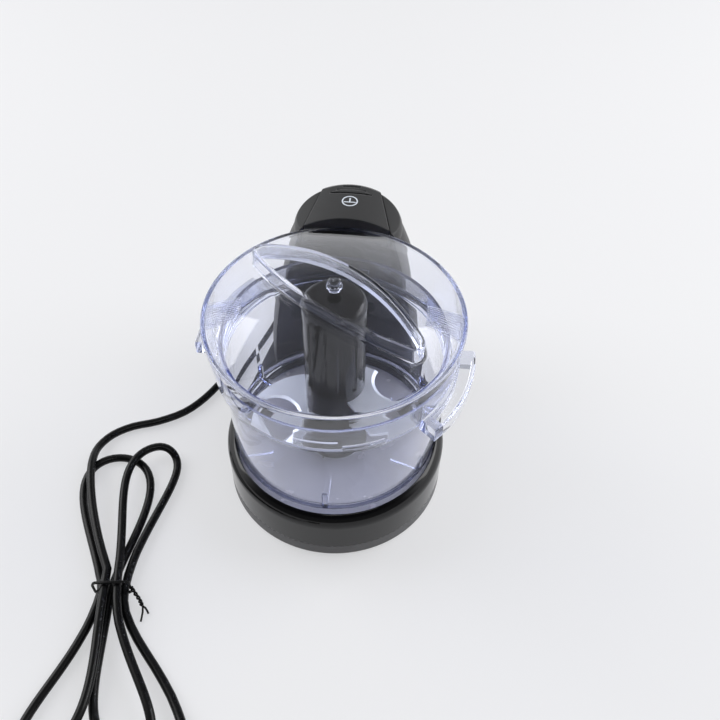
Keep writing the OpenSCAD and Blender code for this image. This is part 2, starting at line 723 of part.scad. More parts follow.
// The belt's run round both pulleys, in short straight steps
belt_steps = 40;
module belt_loop(r1, r2, d) {
    lean = asin((r1 - r2) / d);
    polygon(concat(
        [for (i = [0:belt_steps]) let (a = blend(180 - lean, 360 + lean, i / belt_steps))
            r1 * [cos(a), sin(a)]],
        [for (i = [0:belt_steps]) let (a = blend(lean, 180 - lean, i / belt_steps))
            [0, d] + r2 * [cos(a), sin(a)]]));
}
module drive_belt() {
    color([0.1, 0.1, 0.1]) at_bowl(belt_h - belt_w / 2) linear_extrude(height = belt_w) difference() {
        belt_loop(big_pulley_r + belt_gap + belt_t, small_pulley_r + belt_gap + belt_t, motor_back);
        belt_loop(big_pulley_r + belt_gap, small_pulley_r + belt_gap, motor_back);
    }
}

module drive_spindle() {
    color([0.7, 0.71, 0.73]) at_bowl() {
        translate([0, 0, cover_floor + 0.5])
            cylinder(r = spindle_r, h = spindle_top - 13 - cover_floor);
        translate([0, 0, spindle_top - 13]) cylinder(r = hex_w / sqrt(3), h = 13, $fn = 6);
    }
}
module upper_bush() {
    color([0.72, 0.55, 0.3]) at_bowl(spindle_boss_low)
        tube(bush_r - seat_gap, spindle_r + bush_gap, spindle_boss_top - spindle_boss_low);
}
module lower_bush() {
    color([0.72, 0.55, 0.3]) at_bowl(cover_floor)
        tube(spindle_r + 2 - seat_gap, spindle_r + bush_gap, pulley_low - 1 - cover_floor);
}

module switch_body() {
    color([0.12, 0.12, 0.14]) at_bowl() difference() {
        translate([-10, switch_back - 6, pocket_wall_low - switch_h]) cube([20, 12, switch_h]);
        translate([0, switch_back, pocket_wall_low - switch_h + 1.5])
            cylinder(r = plunger_r + 0.15, h = switch_h);
    }
}
module switch_plunger() {
    color([0.85, 0.2, 0.15]) at_bowl() translate([0, switch_back, pocket_wall_low - switch_h + 3.5])
        cylinder(r = plunger_r, h = plunger_top - pocket_wall_low + switch_h - 3.5);
}

groove_w = 1.2;
groove_draw = 6.8;
module push_button() {
    color([0.24, 0.24, 0.25]) difference() {
        union() {
            difference() {
                intersection() {
                    tower_form(-button_proud);
                    button_prism(0, button_low, tower_top + 5);
                }
                intersection() {
                    tower_form(button_wall - button_proud);
                    button_prism(-button_wall, button_low - over, tower_top + 5);
                    at_bowl() difference() {
                        translate([0, 0, button_low - over]) cylinder(r = 3 * front_r, h = 20);
                        cylinder(r = front_r + button_wall, h = tower_top + 5);
                    }
                }
                at_bowl(pocket_h) cylinder(r = front_r + 0.4, h = 30);
            }
            // Hinge ears at the rear and the post over the switch
            intersection() {
                at_bowl() for (x = [-11, 7]) translate([x, hinge_back, 0]) rotate([90, 0, 90])
                    linear_extrude(height = 4) {
                        translate([0, hinge_z]) circle(r = lug_r);
                        translate([-lug_r, hinge_z]) square([2 * lug_r, tower_top - hinge_z]);
                    }
                tower_form(0);
            }
            intersection() {
                at_bowl(plunger_top + move_gap) translate([0, switch_back, 0])
                    cylinder(r = plunger_r + 0.4, h = 20);
                tower_form(0);
            }
        }
        at_bowl() translate([-20, hinge_back, hinge_z]) rotate([0, 90, 0])
            cylinder(r = hinge_r + seat_gap, h = 40);
        // Three finger grooves of even depth, each shorter than the one in front of it
        difference() {
            at_tower(button_low) for (i = [0:2]) let (l = groove_l - groove_draw * i)
                translate([-l / 2, groove_back + groove_step * i - groove_w / 2, 0]) cube([l, groove_w, 30]);
            tower_form(groove_t - button_proud);
        }
    }
}
module button_pin() {
    color([0.75, 0.75, 0.77]) at_bowl() translate([-button_pin_half() + 0.5, hinge_back, hinge_z])
        rotate([0, 90, 0]) cylinder(r = hinge_r, h = 2 * button_pin_half() - 1);
}

spring_back = front_r + 8;
spring_wire_r = 0.35;
spring_turns = 6;
spring_low = pocket_h + spring_wire_r + 0.1;
spring_high = tower_top + button_proud - button_wall - spring_wire_r - 0.4;
spring_steps = 8;
spring_path = [for (i = [0:spring_turns * spring_steps]) let (u = i / (spring_turns * spring_steps))
    [3 * cos(360 * i / spring_steps), bowl_y + spring_back + 3 * sin(360 * i / spring_steps),
        blend(spring_low, spring_high, u)]];
module button_spring() {
    color([0.8, 0.8, 0.82]) swept(spring_path, spring_wire_r, 6);
}

module bowl() {
    color([0.85, 0.88, 0.95, 0.5]) at_bowl() {
        difference() {
            union() {
                rotate_extrude() bowl_section();
                bowl_ribs();
                for (i = [0:lug_n - 1]) rotate([0, 0, 90 * i + lug_turn - lug_span / 2 - lug_rest])
                    rotate_extrude(angle = lug_span) translate([bowl_high_r - over, bowl_lug_low])
                        square([bowl_lug_r - bowl_high_r + over, lug_t]);
            }
            translate([0, 0, seat_h]) cylinder(r = chimney_r, h = bowl_top);
        }
    }
}
module bowl_section() {
    corner = 4;
    difference() {
        union() {
            polygon([[0, seat_h], [bowl_r, seat_h], [bowl_high_r, bead_h - bead_t],
                [bowl_high_r, bowl_top], [0, bowl_top]]);
            translate([0, bead_h - bead_t]) square([bead_r, bead_t]);
        }
        // The inside of the wall, with a rounded floor corner, and the hollow foot
        difference() {
            polygon([[chimney_out, floor_h], [bowl_r - bowl_wall, floor_h],
                [bowl_high_r - bowl_wall, bead_h], [bowl_high_r - bowl_wall, bowl_top + over],
                [0, bowl_top + over], [0, chimney_h], [chimney_out, chimney_h]]);
            difference() {
                translate([bowl_r - bowl_wall - corner, floor_h]) square([corner + 2, corner]);
                translate([bowl_r - bowl_wall - corner, floor_h + corner]) circle(r = corner);
            }
        }
        translate([0, seat_h - over])
            square([bowl_r - bowl_wall, under_floor - seat_h + over]);
    }
}
module bowl_ribs() {
    rib_w = 3;
    rib_h = 1.6;
    rib_in = 38;
    for (i = [0:rib_n - 1]) rotate([0, 0, 30 + 360 * i / rib_n]) {
        translate([rib_in, 0, floor_h - over / 2]) cylinder(r = rib_w / 2, h = rib_h + over / 2);
        translate([rib_in, -rib_w / 2, floor_h - over / 2])
            cube([bowl_r - bowl_wall - rib_in + 0.5, rib_w, rib_h + over / 2]);
        translate([bowl_r - bowl_wall - 1.6, -rib_w / 2, floor_h]) cube([2, rib_w, 12]);
    }
}

module blade_hub() {
    color([0.2, 0.19, 0.19]) difference() {
        at_bowl() difference() {
            rotate_extrude() difference() {
                union() {
                    translate([0, hub_low]) square([hub_r, hub_top - hub_round - hub_low]);
                    intersection() {
                        translate([hub_r - hub_round, hub_top - hub_round]) circle(r = hub_round);
                        translate([0, hub_top - hub_round]) square([hub_r, hub_round]);
                    }
                    translate([0, hub_low]) square([hub_r - hub_round, hub_top - hub_low]);
                    translate([0, hub_low]) square([hub_r + 1.6, 2]);
                }
                translate([0, hub_low - over]) square([hub_bore, hub_socket_low - hub_low + over]);
                translate([0, hub_recess_low]) square([hub_recess_r, hub_top]);
            }
            translate([0, 0, hub_socket_low - over])
                cylinder(r = (hex_w + 2 * hex_gap) / sqrt(3), h = spindle_top + 1 - hub_socket_low + over, $fn = 6);
            // Shallow flutes down the sides
            for (a = [15:30:345]) rotate([0, 0, a]) translate([hub_r + 1.2, 0, high_blade_h + 8])
                cylinder(r = 2, h = hub_top - hub_round - high_blade_h - 12);
        }
        blade_at(low_blade_h, blade_turn, seat_gap);
        blade_at(high_blade_h, blade_turn + 180, seat_gap);
    }
}
// A sickle blade: a round back, a hollow edge ground to a bevel, and a root in the hub
module blade_form(gap) {
    back = [14.6, 7];
    edge = [34.5, 3.2];
    root = hub_r - 4.6;
    difference() {
        translate([0, 0, -gap]) linear_extrude(height = blade_t + 2 * gap) intersection() {
            translate(back) circle(r = blade_back_r, $fn = 200);
            polygon([[5, 15], [17, 11.6], [50.5, -0.9], [60, -40], [30, -40], [4, -9.5]]);
        }
        translate([edge[0], edge[1], -over]) cylinder(r = blade_edge_r, h = blade_t + 2 * over);
        translate([edge[0], edge[1], blade_t / 2 + gap])
            cylinder(r1 = blade_edge_r, r2 = blade_edge_r + 1.8, h = blade_t / 2 + 0.01);
        translate([0, 0, -over]) cylinder(r = root - gap, h = blade_t + 2 * over);
    }
}
module blade_at(z, turn, gap)
    at_bowl(z) rotate([0, 0, turn]) blade_form(gap);
module lower_blade() {
    color([0.85, 0.86, 0.88]) blade_at(low_blade_h, blade_turn, 0);
}
module upper_blade() {
    color([0.85, 0.86, 0.88]) blade_at(high_blade_h, blade_turn + 180, 0);
}

// The grip's plan: two arcs that meet in rounded ends
module grip_plan(inset) {
    end_r = grip_end_r - inset;
    reach = grip_end + end_r * grip_end / norm([grip_end, lens_middle]);
    intersection() {
        intersection_for (s = [-1, 1]) translate([0, s * lens_middle]) circle(r = lens_r - inset, $fn = 200);
        square([2 * reach, grip_w], center = true);
    }
    // The ends stand a little proud, so that they cross the arcs
    for (s = [-1, 1]) translate([s * grip_end, 0]) circle(r = end_r + 0.02);
}
module grip_form(inset, low) {
    intersection() {
        translate([0, 0, low]) linear_extrude(height = grip_h - low + over) grip_plan(inset);
        translate([0, grip_w, grip_h - grip_crown]) rotate([90, 0, 0])
            cylinder(r = grip_crown - inset, h = 2 * grip_w, $fn = 360);
    }
}
module lid_outline(inset) {
    polygon([[0, bead_h - inset], [skirt_r - inset, bead_h - inset], [lid_rim_r - inset, lid_rim_h - 2],
        [lid_rim_r - inset, lid_rim_h - inset], [0, lid_rim_h - inset]]);
    intersection() {
        translate([0, dome_middle]) circle(r = dome_r - inset, $fn = 360);
        translate([0, lid_rim_h - 3]) square([dome_edge_r - inset, dome_rise + 4]);
    }
}
module lid() {
    color([0.8, 0.84, 0.95, 0.5]) at_bowl() {
        difference() {
            union() {
                rotate_extrude() lid_outline(0);
                rotate([0, 0, grip_turn]) grip_form(0, lid_rim_h);
                for (a = [0, 180]) rotate([0, 0, tab_turn + a]) lid_tab();
            }
            rotate_extrude() lid_outline(lid_wall);
            rotate([0, 0, grip_turn]) difference() {
                grip_form(lid_wall, lid_rim_h - 4);
                translate([0, 0, pin_seat_low]) cylinder(r = pin_seat_r, h = 12);
            }
            translate([0, 0, lid_rim_h]) cylinder(r = lid_pin_r + bush_gap, h = 40);
        }
        for (i = [0:lug_n - 1]) rotate([0, 0, 90 * i + lug_turn - lug_span / 2])
            rotate_extrude(angle = lug_span) translate([lid_lug_r, bead_h])
                square([skirt_r - lid_lug_r - 1, lid_lug_high - bead_h]);
    }
}
// One hollow tab with a block at each end
module lid_tab() {
    tab_in = skirt_r - 0.6;
    end_turn = 5;
    difference() {
        rotate([0, 0, -tab_span / 2]) rotate_extrude(angle = tab_span)
            translate([tab_in, tab_low]) square([tab_r - tab_in, tab_h]);
        rotate([0, 0, -tab_span / 2 + end_turn]) rotate_extrude(angle = tab_span - 2 * end_turn)
            translate([tab_in + 2.2, tab_low - over]) square([tab_r - tab_in - 4.2, tab_h - 2 + over]);
    }
}
// A rivet through the grip's top, with a flat head on each side
module lid_centre_pin() {
    low = pin_seat_low - move_gap - pin_head_t;
    color([0.85, 0.88, 0.95]) at_bowl() {
        translate([0, 0, low]) cylinder(r = lid_pin_r, h = grip_h + move_gap + over - low);
        for (z = [low, grip_h + move_gap]) translate([0, 0, z]) cylinder(r = pin_head_r, h = pin_head_t);
    }
}

module strain_relief() {
    color([0.06, 0.06, 0.06]) at_exit() difference() {
        union() {
            translate([0, 0, tower_r - wall - 3]) cylinder(r = relief_neck_r() - seat_gap, h = wall + 4);
            translate([0, 0, tower_r - wall - 3]) cylinder(r = relief_neck_r() + 1.5, h = 2);
            translate([0, 0, tower_r + 0.8])
                cylinder(r1 = relief_neck_r() + 1, r2 = cord_r + 0.9, h = relief_l - 0.8);
        }
        for (i = [0:4]) translate([0, 0, tower_r + 4 + 3.6 * i]) rotate([0, 0, 90 * (i % 2)])
            for (s = [-1, 1]) translate([s * (relief_neck_r() + 1.8), 0, 0.7]) cube([4.2, 12, 1.4], center = true);
    }
}
module power_cord() {
    color([0.05, 0.05, 0.05]) at_bowl() swept(cord_path, cord_r, 10);
}
module cord_hank() {
    color([0.05, 0.05, 0.05]) at_bowl() swept(hank_path, cord_r, 6);
}

tie_t = 1;
tie_half = 6.4 * row_step / 5.4 + cord_r + 0.7;
tie_w = 3;
module tie_plan(margin) {
    half = tie_half + margin;
    low = waist_z - cord_r - 0.2 - margin;
    high = upper_z + cord_r + 0.7 + margin;
    round_r = 2.4 + margin;
    translate([-half + round_r, low]) square([2 * (half - round_r), high - low]);
    translate([-half, low + round_r]) square([2 * half, high - low - 2 * round_r]);
    for (x = [-1, 1]) for (z = [low + round_r, high - round_r])
        translate([x * (half - round_r), z]) circle(r = round_r);
}
module cord_tie() {
    tail_start = tie_half + tie_t;
    color([0.07, 0.07, 0.07]) at_bowl() {
        translate(hank_middle) rotate([90, 0, hank_turn - 90]) translate([0, 0, -tie_w / 2])
            linear_extrude(height = tie_w) difference() {
                tie_plan(tie_t);
                tie_plan(0);
            }
        swept([hank_place(0, tail_start - 0.5, 6), hank_place(-3, tail_start + 2, 5.4),
            hank_place(-6, tail_start + 4.5, 4), hank_place(-8, tail_start + 6, 3)], 1.1, 8);
        swept([hank_place(-7.2, tail_start + 5.6, 3.3), hank_place(-13, tail_start + 6.6, 2),
            hank_place(-18, tail_start + 6.2, 1)], 0.7, 8);
    }
}

// The plug lies flat: its own frame runs along the last stretch of the cord
plug_l = 34;
module at_plug() {
    at_bowl() translate(plug_face) rotate([0, 0, atan2(plug_dir[1], plug_dir[0])]) children();
}
module plug_body() {
    color([0.05, 0.05, 0.05]) at_plug() difference() {
        union() {
            translate([0.05, 0, 0]) rotate([0, 90, 0]) cylinder(r1 = cord_r + 0.8, r2 = 5, h = 14);
            translate([12, -12, -plug_h + 0.2]) linear_extrude(height = 2 * plug_h - 0.4) {
                translate([4, 0]) square([plug_l - 16, 24]);
                translate([0, 5]) square([plug_l - 12, 14]);
                for (y = [5, 19]) translate([5, y]) circle(r = 5);
            }
        }
        translate([0, -20, plug_h - 1.2]) rotate([0, 82, 0]) translate([-10, 0, 0]) cube([10, 40, 20]);
    }
}
module plug_pins() {
    color([0.75, 0.7, 0.55]) at_plug() for (y = [-6.35, 6.35]) translate([plug_l, y - 0.75, -3.15])
        difference() {
            cube([16, 1.5, 6.3]);
            translate([12.5, -over, 3.15]) rotate([-90, 0, 0]) cylinder(r = 1.6, h = 4);
        }
}

main_housing();
bottom_cover();
rubber_feet();
cover_screws();
motor_can();
motor_magnets();
motor_end_cap();
motor_bushes();
brush_holders();
carbon_brushes();
motor_plate();
motor_plate_screws();
rectifier_board();
armature_core();
armature_winding();
commutator();
motor_shaft();
motor_pulley();
drive_belt();
spindle_pulley();
drive_spindle();
upper_bush();
lower_bush();
switch_body();
switch_plunger();
push_button();
button_pin();
button_spring();
bowl();
blade_hub();
lower_blade();
upper_blade();
lid_centre_pin();
lid();
strain_relief();
power_cord();
cord_hank();
cord_tie();
plug_body();
plug_pins();
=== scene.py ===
import math
import bpy
import bmesh
from mathutils import Matrix, Vector


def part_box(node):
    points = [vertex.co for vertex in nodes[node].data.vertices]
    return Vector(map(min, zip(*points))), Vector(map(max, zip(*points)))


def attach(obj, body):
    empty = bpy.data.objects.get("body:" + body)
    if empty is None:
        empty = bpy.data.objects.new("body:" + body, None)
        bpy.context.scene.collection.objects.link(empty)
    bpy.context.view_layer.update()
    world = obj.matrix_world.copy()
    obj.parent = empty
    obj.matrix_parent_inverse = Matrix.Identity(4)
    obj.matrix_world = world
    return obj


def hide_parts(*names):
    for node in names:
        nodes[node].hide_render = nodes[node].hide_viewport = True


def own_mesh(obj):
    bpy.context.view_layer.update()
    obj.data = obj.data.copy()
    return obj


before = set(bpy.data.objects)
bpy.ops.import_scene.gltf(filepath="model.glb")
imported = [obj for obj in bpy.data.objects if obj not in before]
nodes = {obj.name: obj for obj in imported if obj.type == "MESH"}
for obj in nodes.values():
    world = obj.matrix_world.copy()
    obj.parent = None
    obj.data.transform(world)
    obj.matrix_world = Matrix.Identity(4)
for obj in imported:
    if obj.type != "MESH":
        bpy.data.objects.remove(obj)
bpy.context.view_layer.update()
scene = bpy.context.scene
mm = 0.001

# pieces are modelled in millimetres about the bowl's upright axis, then put in the frame
hubLow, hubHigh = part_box("blade_hub")
axisY = (hubLow[1] + hubHigh[1]) / 2
toFrame = Matrix.Translation((0, axisY, 0)) @ Matrix.Scale(mm, 4)
print("frame loaded,", len(nodes), "nodes, axis at", round(axisY, 4))


# camera
cameraView = {
    "place": (0.0304, -0.3097, 0.4196),
    "forward": (-0.040, 0.656, -0.753),
    "roll": 1.5,
    "lens": 40,
}


def makeCamera(view):
    forward = Vector(view["forward"]).normalized()
    right = forward.cross(Vector((0, 0, 1))).normalized()
    up = right.cross(forward)
    roll = math.radians(view["roll"])
    side = right * math.cos(roll) + up * math.sin(roll)
    top = up * math.cos(roll) - right * math.sin(roll)
    camera = bpy.data.objects.new("camera", bpy.data.cameras.new("camera"))
    camera.data.lens = view["lens"]
    camera.data.sensor_width = 36
    camera.data.clip_start = 0.01
    turn = Matrix((side, top, -forward)).transposed().to_4x4()
    camera.matrix_world = Matrix.Translation(view["place"]) @ turn
    scene.collection.objects.link(camera)
    scene.camera = camera


makeCamera(cameraView)


def addNode(tree, kind, **values):
    node = tree.nodes.new(kind)
    for key, value in values.items():
        setattr(node, key, value)
    return node


def startMaterial(name):
    material = bpy.data.materials.new(name)
    material.use_nodes = True
    tree = material.node_tree
    tree.nodes.clear()
    output = addNode(tree, "ShaderNodeOutputMaterial")
    shader = addNode(tree, "ShaderNodeBsdfPrincipled")
    tree.links.new(shader.outputs["BSDF"], output.inputs["Surface"])
    return material, tree, shader, output


def objectPlace(tree, stretch=(1, 1, 1)):
    coords = addNode(tree, "ShaderNodeTexCoord")
    mapping = addNode(tree, "ShaderNodeMapping")
    mapping.inputs["Scale"].default_value = stretch
    tree.links.new(coords.outputs["Object"], mapping.inputs["Vector"])
    return mapping.outputs["Vector"]


def noiseOf(tree, vector, size, detail=2.0):
    # size is in millimetres
    noise = addNode(tree, "ShaderNodeTexNoise")
    noise.inputs["Scale"].default_value = 1000 / size
    noise.inputs["Detail"].default_value = detail
    tree.links.new(vector, noise.inputs["Vector"])
    return noise.outputs["Fac"]


def mathOf(tree, operation, a, b=None, clamp=False):
    node = addNode(tree, "ShaderNodeMath", operation=operation, use_clamp=clamp)
    for socket, value in zip(node.inputs, (a, b)):
        if isinstance(value, (int, float)):
            socket.default_value = value
        elif value is not None:
            tree.links.new(value, socket)
    return node.outputs[0]


def rangeOf(tree, value, low, high, toLow, toHigh, smooth=False):
    node = addNode(tree, "ShaderNodeMapRange", interpolation_type="SMOOTHSTEP" if smooth else "LINEAR")
    tree.links.new(value, node.inputs["Value"])
    for key, number in (("From Min", low), ("From Max", high), ("To Min", toLow), ("To Max", toHigh)):
        node.inputs[key].default_value = number
    return node.outputs["Result"]


def mixOf(tree, factor, a, b):
    node = addNode(tree, "ShaderNodeMix", data_type="RGBA")
    tree.links.new(factor, node.inputs[0])
    for socket, value in ((node.inputs[6], a), (node.inputs[7], b)):
        if isinstance(value, tuple):
            socket.default_value = (*value, 1)
        else:
            tree.links.new(value, socket)
    return node.outputs[2]


def mixFloat(tree, factor, a, b):
    node = addNode(tree, "ShaderNodeMix", data_type="FLOAT")
    for socket, value in zip(node.inputs[:1] + node.inputs[2:4], (factor, a, b)):
        tree.links.new(value, socket)
    return node.outputs[0]


def bumpOf(tree, height, depth, strength=1.0, normal=None):
    bump = addNode(tree, "ShaderNodeBump")
    bump.inputs["Distance"].default_value = depth * mm
    bump.inputs["Strength"].default_value = strength
    tree.links.new(height, bump.inputs["Height"])
    if normal is not None:
        tree.links.new(normal, bump.inputs["Normal"])
    return bump.outputs["Normal"]


def roundedEdges(tree, radius):
    bevel = addNode(tree, "ShaderNodeBevel", samples=6)
    bevel.inputs["Radius"].default_value = radius * mm
    return bevel.outputs["Normal"]


def axisPlace(tree, place):
    # height, distance from the bowl's axis and direction about it
    apart = addNode(tree, "ShaderNodeSeparateXYZ")
    tree.links.new(place, apart.inputs[0])
    x, y = apart.outputs["X"], mathOf(tree, "SUBTRACT", apart.outputs["Y"], axisY)
    square = mathOf(tree, "ADD", mathOf(tree, "MULTIPLY", x, x), mathOf(tree, "MULTIPLY", y, y))
    return apart.outputs["Z"], mathOf(tree, "SQRT", square), mathOf(tree, "ARCTAN2", y, x)


# the part of a noise's range in use, and how wear, blotches and grain share in a finish
noiseSpan = (0.3, 0.7)
finishMix = {"wearTurn": (1.0, 0.85), "wearFrom": (0.35, 0.7), "wearShare": (0.2, 0.8), "blotchShare": 0.6, "bump": 0.6}


def edgeWear(tree, rounded):
    # 0 on flat faces, rising towards edges
    flat = addNode(tree, "ShaderNodeNewGeometry")
    dot = addNode(tree, "ShaderNodeVectorMath", operation="DOT_PRODUCT")
    tree.links.new(flat.outputs["Normal"], dot.inputs[0])
    tree.links.new(rounded, dot.inputs[1])
    return rangeOf(tree, dot.outputs["Value"], *finishMix["wearTurn"], 0.0, 1.0)


# finishes of the moulded, turned and wound parts
finishLooks = {
    "grey_plastic": {"colour": (0.095, 0.095, 0.1), "shade": (0.08, 0.08, 0.084), "wear": (0.13, 0.13, 0.135),
        "rough": (0.36, 0.5), "grain": 0.5, "depth": 0.02, "blotch": 14, "round": 0.7},
    "button_plastic": {"colour": (0.024, 0.024, 0.025), "shade": (0.019, 0.019, 0.02), "wear": (0.08, 0.08, 0.085),
        "rough": (0.34, 0.46), "grain": 0.45, "depth": 0.012, "blotch": 9, "round": 0.8},
    "black_plastic": {"colour": (0.02, 0.02, 0.02), "shade": (0.014, 0.014, 0.014), "wear": (0.05, 0.05, 0.05),
        "rough": (0.3, 0.42), "grain": 0.6, "depth": 0.02, "blotch": 8, "round": 0.4},
    "red_plastic": {"colour": (0.42, 0.02, 0.016), "shade": (0.34, 0.014, 0.012), "wear": (0.5, 0.08, 0.06),
        "rough": (0.3, 0.4), "grain": 0.6, "depth": 0.01, "blotch": 5, "round": 0.3},
    "white_nylon": {"colour": (0.76, 0.75, 0.71), "shade": (0.68, 0.67, 0.63), "wear": (0.82, 0.81, 0.78),
        "rough": (0.4, 0.52), "grain": 0.7, "depth": 0.02, "blotch": 10, "round": 0.4},
    "black_rubber": {"colour": (0.022, 0.022, 0.023), "shade": (0.014, 0.014, 0.015), "wear": (0.05, 0.05, 0.05),
        "rough": (0.66, 0.85), "grain": 0.35, "depth": 0.04, "blotch": 5, "round": 0.5},
    "zinc_steel": {"colour": (0.58, 0.58, 0.56), "shade": (0.47, 0.47, 0.46), "wear": (0.7, 0.7, 0.68), "metal": 1,
        "rough": (0.28, 0.48), "grain": 0.8, "depth": 0.015, "blotch": 4, "round": 0.3},
    "bright_steel": {"colour": (0.7, 0.7, 0.71), "shade": (0.58, 0.58, 0.6), "wear": (0.8, 0.8, 0.8), "metal": 1,
        "rough": (0.14, 0.26), "grain": 0.5, "depth": 0.008, "blotch": 6, "round": 0.2, "stretch": (6, 6, 0.6)},
    "core_steel": {"colour": (0.26, 0.25, 0.24), "shade": (0.17, 0.165, 0.16), "wear": (0.4, 0.4, 0.39), "metal": 1,
        "rough": (0.35, 0.55), "grain": 0.5, "depth": 0.05, "blotch": 3, "round": 0.2, "stretch": (0.2, 0.2, 3)},
    "ferrite": {"colour": (0.055, 0.053, 0.053), "shade": (0.035, 0.034, 0.034), "wear": (0.1, 0.1, 0.1),
        "rough": (0.55, 0.75), "grain": 0.4, "depth": 0.03, "blotch": 3, "round": 0.4},
    "bronze": {"colour": (0.5, 0.29, 0.12), "shade": (0.36, 0.2, 0.085), "wear": (0.6, 0.38, 0.18), "metal": 1,
        "rough": (0.35, 0.55), "grain": 0.3, "depth": 0.02, "blotch": 2, "round": 0.2},
    "brass": {"colour": (0.68, 0.5, 0.2), "shade": (0.55, 0.39, 0.15), "wear": (0.78, 0.62, 0.32), "metal": 1,
        "rough": (0.18, 0.34), "grain": 0.5, "depth": 0.01, "blotch": 4, "round": 0.3},
    "copper": {"colour": (0.6, 0.24, 0.12), "shade": (0.44, 0.15, 0.07), "wear": (0.7, 0.35, 0.2), "metal": 1,
        "rough": (0.22, 0.4), "grain": 0.5, "depth": 0.04, "blotch": 3, "round": 0.2},
    "carbon": {"colour": (0.028, 0.028, 0.03), "shade": (0.018, 0.018, 0.019), "wear": (0.07, 0.07, 0.07),
        "rough": (0.5, 0.7), "grain": 0.25, "depth": 0.02, "blotch": 2, "round": 0.2},
    "green_board": {"colour": (0.03, 0.17, 0.07), "shade": (0.018, 0.11, 0.045), "wear": (0.2, 0.26, 0.14),
        "rough": (0.3, 0.45), "grain": 0.7, "depth": 0.03, "blotch": 3, "round": 0.2},
}


def partFinish(name, look):
    material, tree, shader = startMaterial(name)[:3]
    place = objectPlace(tree, look.get("stretch", (1, 1, 1)))
    blotch = noiseOf(tree, place, look["blotch"], 3.0)
    grain = noiseOf(tree, place, look["grain"])
    rounded = roundedEdges(tree, look["round"])
    colour = mixOf(tree, blotch, look["colour"], look["shade"])
    patchy = rangeOf(tree, blotch, *finishMix["wearFrom"], *finishMix["wearShare"])
    worn = mathOf(tree, "MULTIPLY", edgeWear(tree, rounded), patchy)
    tree.links.new(mixOf(tree, worn, colour, look["wear"]), shader.inputs["Base Color"])
    share = finishMix["blotchShare"]
    both = mathOf(tree, "ADD", mathOf(tree, "MULTIPLY", blotch, share), mathOf(tree, "MULTIPLY", grain, 1 - share))
    tree.links.new(rangeOf(tree, both, *noiseSpan, *look["rough"]), shader.inputs["Roughness"])
    tree.links.new(bumpOf(tree, grain, look["depth"], finishMix["bump"], rounded), shader.inputs["Normal"])
    shader.inputs["Metallic"].default_value = look.get("metal", 0)
    return material


materials = {name: partFinish(name, look) for name, look in finishLooks.items()}

# housing: satin tower, glossy round base, silver seat under the bowl
housingLook = {
    "tower": (0.020, 0.020, 0.021), "base": (0.0025, 0.0025, 0.003), "wear": (0.06, 0.06, 0.064),
    "wearFrom": (0.4, 0.7), "wearShare": (0.1, 0.5), "specular": 0.38, "blotch": 16, "grain": 0.45, "depth": 0.014,
    "round": 0.8, "towerRough": (0.34, 0.44), "towerSpan": (0.7, 1.3), "baseRough": 0.08, "baseSpread": 0.06,
    "baseGrain": 0.15, "baseHeight": (0.0375, 0.0415), "axisRadius": (0.0655, 0.0675),
    "seat": (0.76, 0.72, 0.68), "seatRough": 0.26, "seatSpread": 0.02, "seatMetal": 0.35,
    "seatRadius": (0.0575, 0.0577), "seatUnder": (0.0324, 0.0327), "seatHeight": (0.0331, 0.0334),
}


def housingFinish(look):
    material, tree, shader = startMaterial("charcoal_plastic")[:3]
    place = objectPlace(tree)
    height, radius = axisPlace(tree, place)[:2]
    isBase = mathOf(tree, "MULTIPLY", rangeOf(tree, radius, *look["axisRadius"], 1, 0),
        rangeOf(tree, height, *look["baseHeight"], 1, 0))
    blotch = noiseOf(tree, place, look["blotch"], 3.0)
    grain = noiseOf(tree, place, look["grain"])
    rounded = roundedEdges(tree, look["round"])
    isSeat = mathOf(tree, "MULTIPLY", rangeOf(tree, radius, *look["seatRadius"], 1, 0),
        mathOf(tree, "MULTIPLY", rangeOf(tree, height, *look["seatHeight"], 1, 0),
            rangeOf(tree, height, *look["seatUnder"], 0, 1)))
    colour = mixOf(tree, isBase, look["tower"], look["base"])
    patchy = rangeOf(tree, blotch, *look["wearFrom"], *look["wearShare"])
    worn = mathOf(tree, "MULTIPLY", edgeWear(tree, rounded), patchy)
    colour = mixOf(tree, worn, colour, look["wear"])
    tree.links.new(mixOf(tree, isSeat, colour, look["seat"]), shader.inputs["Base Color"])
    tree.links.new(mathOf(tree, "MULTIPLY", isSeat, look["seatMetal"]), shader.inputs["Metallic"])
    satin = rangeOf(tree, mathOf(tree, "ADD", blotch, grain), *look["towerSpan"], *look["towerRough"])
    spread = look["baseSpread"]
    gloss = mathOf(tree, "ADD", mathOf(tree, "MULTIPLY", blotch, spread), look["baseRough"] - spread / 2)
    spread = look["seatSpread"]
    silver = rangeOf(tree, blotch, *noiseSpan, look["seatRough"] - spread, look["seatRough"] + spread)
    rough = mixFloat(tree, isSeat, mixFloat(tree, isBase, satin, gloss), silver)
    tree.links.new(rough, shader.inputs["Roughness"])
    shader.inputs["Specular IOR Level"].default_value = look["specular"]
    fine = mathOf(tree, "MULTIPLY", grain, rangeOf(tree, isBase, 0, 1, 1, look["baseGrain"]))
    tree.links.new(bumpOf(tree, fine, look["depth"], finishMix["bump"], rounded), shader.inputs["Normal"])
    return material


materials["charcoal_plastic"] = housingFinish(housingLook)

# hub: smoky dark plastic with a polished side
hubLook = {
    "colour": (0.006, 0.005, 0.005), "shade": (0.004, 0.0034, 0.0034), "rough": (0.07, 0.13), "round": 0.6,
    "streak": 2.5, "stretch": (1, 1, 0.06), "blotch": 10, "depth": 0.006, "bump": 0.5,
}


